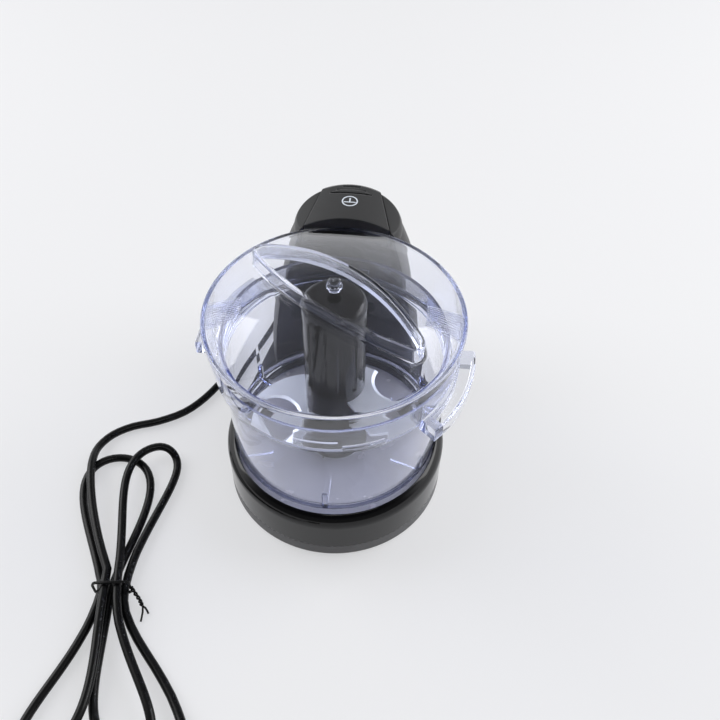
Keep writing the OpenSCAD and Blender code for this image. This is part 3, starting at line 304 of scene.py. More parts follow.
def hubFinish(look):
    material, tree, shader = startMaterial("hub_plastic")[:3]
    place = objectPlace(tree)
    streaks = noiseOf(tree, objectPlace(tree, look["stretch"]), look["streak"], 3.0)
    blotch = noiseOf(tree, place, look["blotch"])
    rounded = roundedEdges(tree, look["round"])
    tree.links.new(mixOf(tree, streaks, look["colour"], look["shade"]), shader.inputs["Base Color"])
    tree.links.new(rangeOf(tree, blotch, *noiseSpan, *look["rough"]), shader.inputs["Roughness"])
    tree.links.new(bumpOf(tree, streaks, look["depth"], look["bump"], rounded), shader.inputs["Normal"])
    return material


materials["hub_plastic"] = hubFinish(hubLook)

# blades: polished stainless steel with fine grinding lines
bladeLook = {
    "colour": (0.88, 0.90, 0.94), "shade": (0.80, 0.82, 0.87), "rough": (0.4, 0.54), "round": 0.2,
    "lines": 0.25, "stretch": (0.05, 1, 1), "cloud": 12, "depth": 0.006, "bump": 0.4,
}


def bladeFinish(look):
    material, tree, shader = startMaterial("blade_steel")[:3]
    lines = noiseOf(tree, objectPlace(tree, look["stretch"]), look["lines"])
    cloud = noiseOf(tree, objectPlace(tree), look["cloud"])
    tree.links.new(mixOf(tree, cloud, look["colour"], look["shade"]), shader.inputs["Base Color"])
    tree.links.new(rangeOf(tree, lines, *noiseSpan, *look["rough"]), shader.inputs["Roughness"])
    rounded = roundedEdges(tree, look["round"])
    tree.links.new(bumpOf(tree, lines, look["depth"], look["bump"], rounded), shader.inputs["Normal"])
    shader.inputs["Metallic"].default_value = 1
    return material


materials["blade_steel"] = bladeFinish(bladeLook)

# cord jacket: soft black vinyl
cordLook = {
    "colour": (0.004, 0.004, 0.0043), "shade": (0.0025, 0.0025, 0.0028), "rough": (0.22, 0.32), "specular": 0.22,
    "round": 0.5, "blotch": 9, "grain": 0.5, "depth": 0.015, "bump": 0.5,
}


def cordFinish(look):
    material, tree, shader = startMaterial("cord_black")[:3]
    place = objectPlace(tree)
    blotch = noiseOf(tree, place, look["blotch"], 3.0)
    grain = noiseOf(tree, place, look["grain"])
    tree.links.new(mixOf(tree, blotch, look["colour"], look["shade"]), shader.inputs["Base Color"])
    tree.links.new(rangeOf(tree, blotch, *noiseSpan, *look["rough"]), shader.inputs["Roughness"])
    rounded = roundedEdges(tree, look["round"])
    tree.links.new(bumpOf(tree, grain, look["depth"], look["bump"], rounded), shader.inputs["Normal"])
    shader.inputs["Specular IOR Level"].default_value = look["specular"]
    return material


materials["cord_black"] = cordFinish(cordLook)

# clear plastic: bowl and lid are cast in the same faintly blue resin
clearLook = {
    "tint": (0.985, 0.988, 1.0), "index": 1.49, "absorb": (0.45, 0.55, 0.95), "density": 45.0,
    "wave": 16, "waveDepth": 0.05, "waveBump": 0.5, "smudge": 22, "smudgeSpan": (0.4, 0.75), "rough": (0.0, 0.025),
    "shadow": (0.9, 0.91, 0.95), "depth": 6,
}
lidLook = {**clearLook, "density": 24.0, "depth": 4}
ridgeLook = {
    "pitch": 1.5, "halfTurn": 7.5, "directions": (-172, -4), "inside": 47, "outside": 64, "depth": 0.9,
    "fade": 1, "turnFade": 0.004,
}


def clearFinish(name, look, ridges=None):
    material, tree, shader, output = startMaterial(name)
    place = objectPlace(tree)
    wave = noiseOf(tree, place, look["wave"], 1.0)
    smudge = noiseOf(tree, place, look["smudge"], 3.0)
    shader.inputs["Base Color"].default_value = (*look["tint"], 1)
    shader.inputs["Transmission Weight"].default_value = 1
    shader.inputs["IOR"].default_value = look["index"]
    tree.links.new(rangeOf(tree, smudge, *look["smudgeSpan"], *look["rough"]), shader.inputs["Roughness"])
    normal = bumpOf(tree, wave, look["waveDepth"], look["waveBump"])
    if ridges:
        normal = bumpOf(tree, ridgeHeight(tree, place, ridges), ridges["depth"], 1.0, normal)
    tree.links.new(normal, shader.inputs["Normal"])
    volume = addNode(tree, "ShaderNodeVolumeAbsorption")
    volume.inputs["Color"].default_value = (*look["absorb"], 1)
    volume.inputs["Density"].default_value = look["density"]
    tree.links.new(volume.outputs[0], output.inputs["Volume"])
    # light for the inside passes straight through, and so does light caught between the faces
    path = addNode(tree, "ShaderNodeLightPath")
    caught = rangeOf(tree, path.outputs["Ray Depth"], look["depth"] - 0.5, look["depth"] + 0.5, 0, 1)
    through = addNode(tree, "ShaderNodeBsdfTransparent")
    through.inputs["Color"].default_value = (*look["shadow"], 1)
    mix = addNode(tree, "ShaderNodeMixShader")
    plain = mathOf(tree, "MAXIMUM", path.outputs["Is Shadow Ray"], path.outputs["Is Diffuse Ray"])
    tree.links.new(mathOf(tree, "MAXIMUM", plain, caught), mix.inputs[0])
    tree.links.new(shader.outputs["BSDF"], mix.inputs[1])
    tree.links.new(through.outputs[0], mix.inputs[2])
    tree.links.new(mix.outputs[0], output.inputs["Surface"])
    return material


def ridgeHeight(tree, place, ridges):
    # fine radial ridges on the lid's rim, at both sides
    radius, turn = axisPlace(tree, place)[1:]
    step = math.radians(ridges["pitch"])
    wave = mathOf(tree, "SINE", mathOf(tree, "MULTIPLY", turn, 2 * math.pi / step))
    lines = rangeOf(tree, wave, 0.0, 1.0, 0.0, 1.0, True)
    inside, outside, fade = [ridges[key] * mm for key in ("inside", "outside", "fade")]
    band = mathOf(tree, "MULTIPLY", rangeOf(tree, radius, inside - fade, inside, 0, 1),
        rangeOf(tree, radius, outside, outside + fade, 1, 0))
    half = math.radians(ridges["halfTurn"])
    sectors = None
    for direction in ridges["directions"]:
        away = mathOf(tree, "SUBTRACT", turn, math.radians(direction))
        near = rangeOf(tree, mathOf(tree, "ABSOLUTE", away), half, half + ridges["turnFade"], 1, 0)
        sectors = near if sectors is None else mathOf(tree, "MAXIMUM", sectors, near)
    return mathOf(tree, "MULTIPLY", mathOf(tree, "MULTIPLY", lines, band), sectors)


materials["clear_bowl"] = clearFinish("clear_bowl", clearLook)
materials["clear_lid"] = clearFinish("clear_lid", lidLook, ridgeLook)

for node in nodes.values():
    slotName = node.material_slots[0].material.name.split(".")[0]
    for slot in node.material_slots:
        slot.material = materials[slotName]
print("finishes ready,", len(materials), "materials")


def pieceFrom(bm, name, material, merge=0.0005):
    bmesh.ops.remove_doubles(bm, verts=bm.verts, dist=merge)
    bmesh.ops.recalc_face_normals(bm, faces=bm.faces)
    mesh = bpy.data.meshes.new(name)
    bm.to_mesh(mesh)
    bm.free()
    mesh.materials.append(material)
    piece = bpy.data.objects.new(name, mesh)
    scene.collection.objects.link(piece)
    return piece


def shade(piece, angle):
    for face in piece.data.polygons:
        face.use_smooth = True
    piece.data.set_sharp_from_angle(angle=math.radians(angle))


def combine(piece, tools, operation):
    # exact Boolean with each tool in turn; the tools are dropped
    for tool in tools:
        change = piece.modifiers.new("combine", "BOOLEAN")
        change.operation = operation
        change.solver = "EXACT"
        change.object = tool
    bpy.context.view_layer.update()
    depsgraph = bpy.context.evaluated_depsgraph_get()
    mesh = bpy.data.meshes.new_from_object(piece.evaluated_get(depsgraph))
    piece.modifiers.clear()
    piece.data = mesh
    for tool in tools:
        bpy.data.objects.remove(tool)


def turnedOutline(corners, steps, turn=360, start=0):
    # corners are (radius, height, rounding); the outline is spun about the axis
    bm = bmesh.new()
    line = [bm.verts.new((radius, 0, height)) for radius, height, rounding in corners]
    for a, b in zip(line, line[1:] + line[:1]):
        bm.edges.new((a, b))
    for vert, (radius, height, rounding) in zip(line, corners):
        if rounding:
            bmesh.ops.bevel(bm, geom=[vert], offset=rounding, offset_type="OFFSET", affect="VERTICES",
                segments=5, profile=0.5, material=-1)
    bmesh.ops.rotate(bm, verts=bm.verts, cent=(0, 0, 0), matrix=Matrix.Rotation(math.radians(start), 3, "Z"))
    whole = turn == 360
    if not whole:
        bmesh.ops.edgenet_fill(bm, edges=bm.edges)
    bmesh.ops.spin(bm, geom=bm.verts[:] + bm.edges[:] + bm.faces[:], axis=(0, 0, 1), cent=(0, 0, 0),
        angle=math.radians(turn), steps=steps, use_merge=whole)
    return bm


def finishPiece(piece, body, angle=35):
    piece.data.transform(toFrame)
    shade(piece, angle)
    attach(piece, body)


# bowl
bowlSizes = {
    "foot": 58.4, "high": 59.3, "wall": 2.2, "seat": 33, "floor": 43, "bead": 62, "beadLow": 99.5, "beadTop": 103,
    "brim": 117.5, "bore": 6.6, "chimney": 9.0, "chimneyTop": 100, "corner": 4,
    "ribs": 6, "ribStart": 38, "ribWidth": 3, "ribHeight": 1.6, "ribTurn": 30, "ribRound": 0.6, "ribBite": 0.6,
    "sink": 0.5, "legHeight": 12, "legDepth": 2.6, "legMiddle": 1,
    "lugs": 4, "lugLow": 106.6, "lugHigh": 109.1, "lugOut": 60.95, "lugSpan": 20, "lugTurn": -13, "lugBite": 1,
    "lugSteps": 12, "steps": 192,
}


def makeBowl(s):
    inFoot, inHigh, under = s["foot"] - s["wall"], s["high"] - s["wall"], s["floor"] - s["wall"]
    outline = [
        (s["foot"], s["seat"], 0.9), (s["high"], s["beadLow"], 0.8), (s["bead"], s["beadLow"], 0.7),
        (s["bead"], s["beadTop"], 0.7), (s["high"], s["beadTop"], 0.5), (s["high"], s["brim"], 0.9),
        (inHigh, s["brim"], 0.9), (inHigh, s["beadTop"], 0), (inFoot, s["floor"], s["corner"]),
        (s["chimney"], s["floor"], 2), (s["chimney"], s["chimneyTop"], 0.8), (s["bore"], s["chimneyTop"], 0.4),
        (s["bore"], under, 0.4), (inFoot, under, 1.0), (inFoot, s["seat"], 0.6),
    ]
    bowl = pieceFrom(turnedOutline(outline, s["steps"]), "clearBowl", materials["clear_bowl"])
    extras = [floorRib(s, i) for i in range(s["ribs"])]
    for i in range(s["lugs"]):
        root = s["high"] - s["lugBite"]
        lug = [(root, s["lugLow"], 0), (s["lugOut"], s["lugLow"], 0.4), (s["lugOut"], s["lugHigh"], 0.4),
            (root, s["lugHigh"], 0)]
        outline = turnedOutline(lug, s["lugSteps"], s["lugSpan"], 90 * i + s["lugTurn"])
        extras.append(pieceFrom(outline, "bowlLug", materials["clear_bowl"]))
    combine(bowl, extras, "UNION")
    finishPiece(bowl, "bowl")
    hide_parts("bowl")
    return bowl


def floorRib(s, i):
    # a low bar on the floor with a leg up the wall
    bm = bmesh.new()
    half, reach = s["ribWidth"] / 2, s["foot"] - s["wall"] + s["ribBite"]
    low = s["floor"] - s["sink"]
    tip = bm.verts.new((s["ribStart"], -half, low))
    bmesh.ops.spin(bm, geom=[tip], axis=(0, 0, -1), cent=(s["ribStart"], 0, low), angle=math.pi, steps=8)
    bm.verts.ensure_lookup_table()
    ends = [v for v in bm.verts if len(v.link_edges) == 1]
    corners = [bm.verts.new((reach, v.co.y, v.co.z)) for v in ends]
    for a, b in ((ends[0], corners[0]), (corners[0], corners[1]), (corners[1], ends[1])):
        bm.edges.new((a, b))
    base = bmesh.ops.edgenet_fill(bm, edges=bm.edges)["faces"]
    raised = bmesh.ops.extrude_face_region(bm, geom=base)["geom"]
    top = [g for g in raised if isinstance(g, bmesh.types.BMFace)][0]
    bmesh.ops.translate(bm, verts=top.verts, vec=(0, 0, s["ribHeight"] + s["sink"]))
    bmesh.ops.recalc_face_normals(bm, faces=bm.faces)
    bmesh.ops.bevel(bm, geom=list(top.edges), offset=s["ribRound"], offset_type="OFFSET", affect="EDGES",
        segments=3, profile=0.5, material=-1)
    bar = pieceFrom(bm, "floorRib", materials["clear_bowl"])
    legs = bmesh.new()
    bmesh.ops.create_cube(legs, size=1)
    bmesh.ops.scale(legs, vec=(s["legDepth"], s["ribWidth"], s["legHeight"] + s["sink"]), verts=legs.verts)
    middle = s["floor"] + s["legHeight"] / 2 - s["sink"] / 2
    bmesh.ops.translate(legs, vec=(reach - s["legMiddle"], 0, middle), verts=legs.verts)
    bmesh.ops.bevel(legs, geom=legs.edges[:], offset=s["ribRound"], offset_type="OFFSET", affect="EDGES",
        segments=3, profile=0.5, material=-1)
    leg = pieceFrom(legs, "wallLeg", materials["clear_bowl"])
    combine(bar, [leg], "UNION")
    bar.data.transform(Matrix.Rotation(math.radians(s["ribTurn"] + 360 * i / s["ribs"]), 4, "Z"))
    return bar


bowl = makeBowl(bowlSizes)
print("bowl done,", len(bowl.data.polygons), "faces")


# lid
lidSizes = {
    "rim": 66.8, "rimHeight": 133.5, "skirt": 63.6, "skirtLow": 103, "wall": 2.2, "domeEdge": 64.3, "domeRise": 12.5,
    "gripLength": 108, "gripWidth": 32, "gripTop": 153.5, "gripCrown": 215, "gripEnd": 5.5, "gripTurn": -35,
    "outerRounds": (1.6, 1.2), "innerRounds": (0.6, 1.0), "edgeRounds": (0.9, 0.8, 0.7, 0.6, 0.6),
    "rimDrop": 2, "innerDrop": 3.4, "pinHole": 2.44, "holeTop": 160, "bossRadius": 3.9, "bossLow": 149.9, "bite": 1,
    "tabIn": 63.0, "tabOut": 73.7, "tabLow": 99.5, "tabHigh": 108, "tabSpan": 46, "tabTurn": -20, "tabEnd": 5,
    "tabWall": 2, "lugs": 4, "lugSteps": 12, "lugIn": 59.75, "lugHigh": 106.1, "lugSpan": 20, "lugTurn": 9,
    "quarter": 48, "domeRings": 10, "roundSteps": 4, "boreSteps": 48,
}


def lidSkin(bm, s, inset, topRound, footRound):
    # one side of the lid's wall, from the grip's top down to the skirt's lower edge
    endX = s["gripLength"] / 2 - s["gripEnd"]
    halfW = s["gripWidth"] / 2
    lensR = (endX ** 2 + halfW ** 2 - s["gripEnd"] ** 2) / (2 * (halfW - s["gripEnd"]))
    lensY = lensR - halfW
    tangent = math.atan2(lensY, endX)
    domeR = (s["domeEdge"] ** 2 + s["domeRise"] ** 2) / (2 * s["domeRise"])
    domeMiddle = s["rimHeight"] + s["domeRise"] - domeR

    def domeZ(place):
        return domeMiddle + math.sqrt((domeR - inset) ** 2 - place.x ** 2 - place.y ** 2)

    def crownZ(place):
        return s["gripTop"] - s["gripCrown"] + math.sqrt((s["gripCrown"] - inset) ** 2 - place.x ** 2)

    # outline of the grip: a round end, a long arc, a round end, and their mirror image
    drawnIn = inset + topRound
    start = [bm.verts.new((endX + s["gripEnd"] - drawnIn, 0, 0))]
    endSteps = s["quarter"] // 4
    arcSteps = s["quarter"] - endSteps
    arcs = [((endX, 0, 0), tangent, endSteps), ((0, -lensY, 0), math.pi - 2 * tangent, 2 * arcSteps),
        ((-endX, 0, 0), tangent, endSteps)]
    for cent, turn, steps in arcs:
        spun = bmesh.ops.spin(bm, geom=start, axis=(0, 0, 1), cent=cent, angle=turn, steps=steps)
        start = [g for g in spun["geom_last"] if isinstance(g, bmesh.types.BMVert)]
    half = list({v for v in bm.verts if v.is_wire})
    lines = list({e for v in half for e in v.link_edges})
    bmesh.ops.mirror(bm, geom=half + lines, matrix=Matrix.Identity(4), merge_dist=0.001, axis="Y")
    bmesh.ops.remove_doubles(bm, verts=[v for v in bm.verts if v.is_wire], dist=0.001)
    ring = [e for e in bm.edges if e.is_wire]
    line = orderedLoop(ring)
    first = max(range(len(line)), key=lambda i: line[i].co.x)
    line = line[first:] + line[:first]
    if line[1].co.y < 0:
        line = line[:1] + line[:0:-1]

    # square to the outline at each point
    outward = []
    for v in line:
        if abs(v.co.x) > endX + (s["gripEnd"] - drawnIn) * math.cos(tangent):
            cent = Vector((math.copysign(endX, v.co.x), 0, 0))
        else:
            cent = Vector((0, -math.copysign(lensY, v.co.y), 0))
        outward.append((v.co - cent).normalized())
    base = [v.co + way * topRound for v, way in zip(line, outward)]

    # the top is cut across into strips, so that it can follow the crown
    top = bmesh.ops.edgenet_fill(bm, edges=ring)["faces"]
    for x in sorted({round(v.co.x, 4) for v in line})[1:-1]:
        geom = top + list({e for f in top for e in f.edges}) + list({v for f in top for v in f.verts})
        cut = bmesh.ops.bisect_plane(bm, geom=geom, dist=0.0005, plane_co=(x, 0, 0), plane_no=(1, 0, 0))
        top = [g for g in cut["geom"] if isinstance(g, bmesh.types.BMFace)]
    for v in line:
        v.co.z = crownZ(v.co)

    # rings: rounded top edge, side wall, rounded foot, then the dome out to the rim's circle
    places = []
    for k in range(1, s["roundSteps"] + 1):
        turn = math.pi / 2 * k / s["roundSteps"]
        row = [p - way * topRound * (1 - math.sin(turn)) for p, way in zip(base, outward)]
        places.append([Vector((p.x, p.y, crownZ(p) - topRound * (1 - math.cos(turn)))) for p in row])
    for k in range(s["roundSteps"] + 1):
        turn = math.pi / 2 * k / s["roundSteps"]
        row = [p + way * footRound * (1 - math.cos(turn)) for p, way in zip(base, outward)]
        places.append([Vector((p.x, p.y, domeZ(p) + footRound * (1 - math.sin(turn)))) for p in row])
    foot = places[-1]
    for k in range(1, s["domeRings"] + 1):
        row = []
        for i, p in enumerate(foot):
            angle = 2 * math.pi * i / len(foot)
            goal = Vector((math.cos(angle), math.sin(angle), 0)) * (s["domeEdge"] - inset)
            q = p.lerp(goal, k / s["domeRings"])
            row.append(Vector((q.x, q.y, domeZ(q))))
        places.append(row)
    for row in places:
        geom = bmesh.ops.extrude_edge_only(bm, edges=ring)["geom"]
        fresh = {g for g in geom if isinstance(g, bmesh.types.BMVert)}
        ring = [g for g in geom if isinstance(g, bmesh.types.BMEdge) and g.is_boundary]
        line = [[e.other_vert(v) for e in v.link_edges if e.other_vert(v) in fresh][0] for v in line]
        for v, place in zip(line, row):
            v.co = place
    corners = [ring]

    # rim and skirt, ring by ring
    profile = [(s["rim"] - inset, s["rimHeight"] - inset), (s["rim"] - inset, s["rimHeight"] - s["rimDrop"]),
        (s["skirt"] - inset, s["skirtLow"])]
    if inset:
        profile = [(s["domeEdge"], s["rimHeight"] - inset), (s["rim"] - inset, s["rimHeight"] - s["innerDrop"]),
            (s["skirt"] - inset, s["skirtLow"])]
    for radius, height in profile:
        geom = bmesh.ops.extrude_edge_only(bm, edges=ring)["geom"]
        ring = [g for g in geom if isinstance(g, bmesh.types.BMEdge) and g.is_boundary]
        for v in {v for e in ring for v in e.verts}:
            flat = math.hypot(v.co.x, v.co.y)
            v.co = (v.co.x * radius / flat, v.co.y * radius / flat, height)
        corners.append(ring)
    return corners


def orderedLoop(edges):
    follow = {}
    for e in edges:
        for v in e.verts:
            follow.setdefault(v, []).append(e)
    line = [edges[0].verts[0]]
    edge = edges[0]
    while True:
        nextVert = edge.other_vert(line[-1])
        if nextVert is line[0]:
            return line
        line.append(nextVert)
        edge = [e for e in follow[nextVert] if e is not edge][0]


def roundOff(bm, edges, size):
    bmesh.ops.bevel(bm, geom=[e for e in edges if e.is_valid], offset=size, offset_type="OFFSET", affect="EDGES",
        segments=3, profile=0.5, material=-1, clamp_overlap=True)


def makeLid(s):
    bm = bmesh.new()
    outer = lidSkin(bm, s, 0, *s["outerRounds"])
    inner = lidSkin(bm, s, s["wall"], *s["innerRounds"])
    bmesh.ops.bridge_loops(bm, edges=outer[-1] + inner[-1])
    bmesh.ops.recalc_face_normals(bm, faces=bm.faces)
    for edges, size in zip((outer[1], outer[2], outer[0], outer[-1], inner[-1]), s["edgeRounds"]):
        roundOff(bm, edges, size)
    lid = pieceFrom(bm, "clearLid", materials["clear_lid"])
    turn = Matrix.Rotation(math.radians(s["gripTurn"]), 4, "Z")
    lid.data.transform(turn)
    extras = [lidTab(s, s["tabTurn"] + side) for side in (0, 180)]
    root, bossTop = s["skirt"] - s["bite"], s["gripTop"] - s["bite"]
    for i in range(s["lugs"]):
        lug = [(s["lugIn"], s["skirtLow"], 0.4), (root, s["skirtLow"], 0), (root, s["lugHigh"], 0),
            (s["lugIn"], s["lugHigh"], 0.4)]
        outline = turnedOutline(lug, s["lugSteps"], s["lugSpan"], 90 * i + s["lugTurn"])
        extras.append(pieceFrom(outline, "lidLug", materials["clear_lid"]))
    boss = [(0, s["bossLow"], 0), (s["bossRadius"], s["bossLow"], 0.6), (s["bossRadius"], bossTop, 0), (0, bossTop, 0)]
    extras.append(pieceFrom(turnedOutline(boss, s["boreSteps"]), "lidBoss", materials["clear_lid"], 0.001))
    combine(lid, extras, "UNION")
    hole = [(0, s["rimHeight"], 0), (s["pinHole"], s["rimHeight"], 0), (s["pinHole"], s["holeTop"], 0),
        (0, s["holeTop"], 0)]
    bore = pieceFrom(turnedOutline(hole, s["boreSteps"]), "pinHole", materials["clear_lid"], 0.001)
    combine(lid, [bore], "DIFFERENCE")
    finishPiece(lid, "lid")
    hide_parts("lid")
    return lid


def lidTab(s, direction):
    # a hollow arc on the skirt with a block at each end
    outer = [(s["tabIn"], s["tabLow"], 0), (s["tabOut"], s["tabLow"], 0.8), (s["tabOut"], s["tabHigh"], 1.6),
        (s["tabIn"], s["tabHigh"], 0)]
    tab = pieceFrom(turnedOutline(outer, 28, s["tabSpan"], direction - s["tabSpan"] / 2), "lidTab",
        materials["clear_lid"])
    inside, outside = s["tabIn"] + s["wall"], s["tabOut"] - s["tabWall"]
    low, high = s["tabLow"] - s["bite"], s["tabHigh"] - s["tabWall"]
    inner = [(inside, low, 0), (outside, low, 0), (outside, high, 0.6), (inside, high, 0.6)]
    span = s["tabSpan"] - 2 * s["tabEnd"]
    hollow = pieceFrom(turnedOutline(inner, 24, span, direction - span / 2), "tabHollow", materials["clear_lid"])
    combine(tab, [hollow], "DIFFERENCE")
    return tab


lid = makeLid(lidSizes)
print("lid done,", len(lid.data.polygons), "faces")


# mark on the button
markSizes = {
    "y": 85.4, "radius": 4.6, "line": 0.75, "bar": 6.9, "barDrop": 0.9, "stem": 3.4, "stemRise": 1.1,
    "crownRadius": 86.9, "crownMiddle": 50.0, "proud": 0.03, "thick": 0.12,
}
markLook = {"colour": (0.66, 0.72, 0.8), "shade": (0.78, 0.83, 0.9), "speck": 0.8, "rough": (0.4, 0.55)}


def makeMark(s):
    bm = bmesh.new()
    bmesh.ops.create_circle(bm, segments=64, radius=s["radius"], cap_ends=False)
    ring = bmesh.ops.extrude_edge_only(bm, edges=bm.edges[:])["geom"]
    inside = [g for g in ring if isinstance(g, bmesh.types.BMVert)]
    ratio = 1 - s["line"] / s["radius"]
    bmesh.ops.scale(bm, vec=(ratio, ratio, 1), verts=inside)
    for width, height, y in ((s["bar"], s["line"], -s["barDrop"]), (s["line"], s["stem"], s["stemRise"])):
        bar = bmesh.ops.create_grid(bm, x_segments=8, y_segments=2, size=0.5)["verts"]
        bmesh.ops.scale(bm, vec=(width, height, 1), verts=bar)
        bmesh.ops.translate(bm, vec=(0, y, 0), verts=bar)
    bmesh.ops.translate(bm, vec=(0, s["y"], 0), verts=bm.verts)
    bmesh.ops.recalc_face_normals(bm, faces=bm.faces)
    raised = bmesh.ops.extrude_face_region(bm, geom=bm.faces[:])["geom"]
    tops = {g for g in raised if isinstance(g, bmesh.types.BMVert)}
    for v in bm.verts:
        lift = s["proud"] if v in tops else s["proud"] - s["thick"]
        v.co.z = s["crownMiddle"] + math.sqrt(s["crownRadius"] ** 2 - v.co.x ** 2) + lift
    mark = pieceFrom(bm, "buttonMark", markFinish(markLook), 0.0001)
    finishPiece(mark, "button", 40)


def markFinish(look):
    material, tree, shader = startMaterial("pale_print")[:3]
    speck = noiseOf(tree, objectPlace(tree), look["speck"])
    tree.links.new(mixOf(tree, speck, look["colour"], look["shade"]), shader.inputs["Base Color"])
    tree.links.new(rangeOf(tree, speck, *noiseSpan, *look["rough"]), shader.inputs["Roughness"])
    return material


makeMark(markSizes)
print("button mark done")


# return spring under the button
springSizes = {"wire": 0.35, "turns": 6, "turnSteps": 32, "corners": 10, "hingeY": 70.4, "press": 0.0873}


def makeSpring(s):
    low, high = [Vector(corner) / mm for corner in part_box("button_spring")]
    middle = (low + high) / 2
    coil = (high.x - low.x) / 2 - s["wire"]
    steps = s["turns"] * s["turnSteps"]
    bm = bmesh.new()
    bmesh.ops.create_circle(bm, segments=s["corners"], radius=s["wire"], cap_ends=True)
    bmesh.ops.rotate(bm, verts=bm.verts, cent=(0, 0, 0), matrix=Matrix.Rotation(math.pi / 2, 3, "X"))
    bmesh.ops.translate(bm, vec=(coil, 0, low.z + s["wire"]), verts=bm.verts)
    rise = high.z - low.z - 2 * s["wire"]
    bmesh.ops.spin(bm, geom=bm.verts[:] + bm.edges[:] + bm.faces[:], axis=(0, 0, 1), cent=(0, 0, 0),
        dvec=(0, 0, rise / steps), angle=2 * math.pi * s["turns"], steps=steps)
    bmesh.ops.translate(bm, vec=(middle.x, middle.y - axisY / mm, 0), verts=bm.verts)
    spring = pieceFrom(bm, "returnSpring", materials["bright_steel"])
    finishPiece(spring, "base")
    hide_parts("button_spring")
    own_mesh(spring)


makeSpring(springSizes)


# cord
cordSizes = {
    "radius": 2.4, "floor": 2.5, "waist": 3.7, "upper": 9.0, "exitHeight": 18, "exitTurn": 100,
    "towerBack": 77, "reliefReach": 74, "hankMiddle": (-113, -97), "hankTurn": 97, "leadSlot": -3.7, "hankStart": 5,
    "ringsPerLoop": 24, "even": 0.4, "liftSpan": (0.1, 0.5), "leadSteps": 3, "hankSteps": 2,
}
leadRoute = [
    (-15.5, 163, 16), (-21, 173, 12), (-32, 178, 8), (-43, 174, 5), (-51, 164, 3.2), (-55, 150, 2.5), (-58, 133, 2.5),
    (-62, 112, 2.5), (-68, 92, 2.5), (-75, 74, 2.5), (-82, 58, 2.5), (-91, 41, 2.5), (-102, 28, 2.5), (-117, 19, 2.5),
    (-132, 13.5, 2.5), (-143, 6, 2.5), (-148.5, -5, 4.2), (-148, -17, 7.4), (-145, -30, 8.4), (-138, -49, 8.6),
    (-128, -70, 9.0)]
# reach, blunt tip, width, lean, slots at the waist, rows, and where the loop changes rows
hankLoops = [
    (-84, 0.6, -13, -20.5, -3.7, -6.4, 1, 0, 0.2, 0.5),
    (88, 0.8, 18.5, -6.6, -6.4, -1, 0, 0, 0, 1),
    (-84, 0.6, 13, 20.5, -1, 3, 0, 1, 0.5, 0.8),
    (92, 0.6, 13, 10.5, 3, 6.2, 1, 0, 0.5, 0.72)]
plugTail = [(-13, 8.5, 3.1), (-28, 17, 2.5), (-43, 28, 2.5), (-58, 38, 3.1), (-72, 45, 4.4), (-84, 50, 7)]
plugFace = (-96, 53.5, 7)
# wire tie round the hank's waist, with two twisted ends
tieSizes = {
    "half": 10.0, "low": 0.62, "high": 12.6, "corner": 2.9, "cornerSteps": 6, "wire": 0.55, "turns": 2, "pitch": 1.3,
    "twist": 2.5, "strand": 0.62, "tailSteps": 8, "steps": 2,
}
tieTail = [(0, 10.2, 6), (-3, 12.4, 5.4), (-6, 14.9, 4.2), (-8.6, 16.4, 3.2)]
tieEnds = [[(-12.5, 17.4, 2.2), (-17.5, 16.8, 1.0)], [(-10.4, 18.6, 2.4), (-13.2, 20.4, 1.0)]]


def ease(a, b, u):
    t = min(1, max(0, (u - a) / (b - a)))
    return t * t * (3 - 2 * t)


def blendOf(a, b, t):
    return a + (b - a) * t


def smoothThrough(points, steps):
    # a smooth curve through all the points, with steps to each stretch
    line = []
    for i in range(len(points) - 1):
        a, b, c, d = points[max(0, i - 1)], points[i], points[i + 1], points[min(len(points) - 1, i + 2)]
        for k in range(steps):
            t = k / steps
            line.append((2 * b + (c - a) * t + (2 * a - 5 * b + 4 * c - d) * t * t
                + (3 * b - a - 3 * c + d) * t ** 3) / 2)
    return line + [points[-1]]


def hankPlace(a, b, up):
    # along and across the hank, and up from the floor
    turn = math.radians(cordSizes["hankTurn"])
    x, y = cordSizes["hankMiddle"]
    return Vector((x + math.cos(turn) * a + math.sin(turn) * b, y + math.sin(turn) * a - math.cos(turn) * b, up))


def cordRoute(s):
    along = hankPlace(1, 0, 0) - hankPlace(0, 0, 0)

    def loopPoint(q, u):
        reach = math.sin(math.pi * u) ** q[1] if 0 < u < 1 else 0.0
        side = blendOf(q[4], q[5], u) + q[3] * math.sin(math.pi * u) - q[2] * math.sin(2 * math.pi * u)
        row = blendOf(q[6], q[7], ease(q[8], q[9], u))
        lift = (s["waist"] - s["floor"]) * (1 - ease(*s["liftSpan"], reach))
        return hankPlace(q[0] * reach, side, s["floor"] + lift + row * (s["upper"] - s["waist"]))

    exitTurn = math.radians(s["exitTurn"])
    exitWay = Vector((math.cos(exitTurn), math.sin(exitTurn), 0))
    exitPoint = Vector((0, s["towerBack"], s["exitHeight"])) + exitWay * s["reliefReach"]
    width = 2 * s["radius"]
    hankFirst = hankPlace(s["hankStart"], s["leadSlot"], s["upper"])
    lead = smoothThrough([exitPoint + exitWay * width] + [Vector(p) for p in leadRoute]
        + [hankFirst + along * width], s["leadSteps"])
    rings = []
    for k, loop in enumerate(hankLoops):
        for i in range(1 if k == 0 else 0, s["ringsPerLoop"]):
            share = i / s["ringsPerLoop"]
            slow = (1 - math.cos(math.pi * share)) / 2
            rings.append(loopPoint(loop, blendOf(slow, share, s["even"])))
    tail = [loopPoint(hankLoops[-1], 1)] + [hankPlace(*p) for p in plugTail]
    face = hankPlace(*plugFace)
    plugWay = (face - tail[-1]).normalized()
    tail += [face - plugWay * width, face]
    hank = smoothThrough([hankFirst, hankFirst - along * width] + rings + tail, s["hankSteps"])
    return exitPoint, [exitPoint] + lead + hank


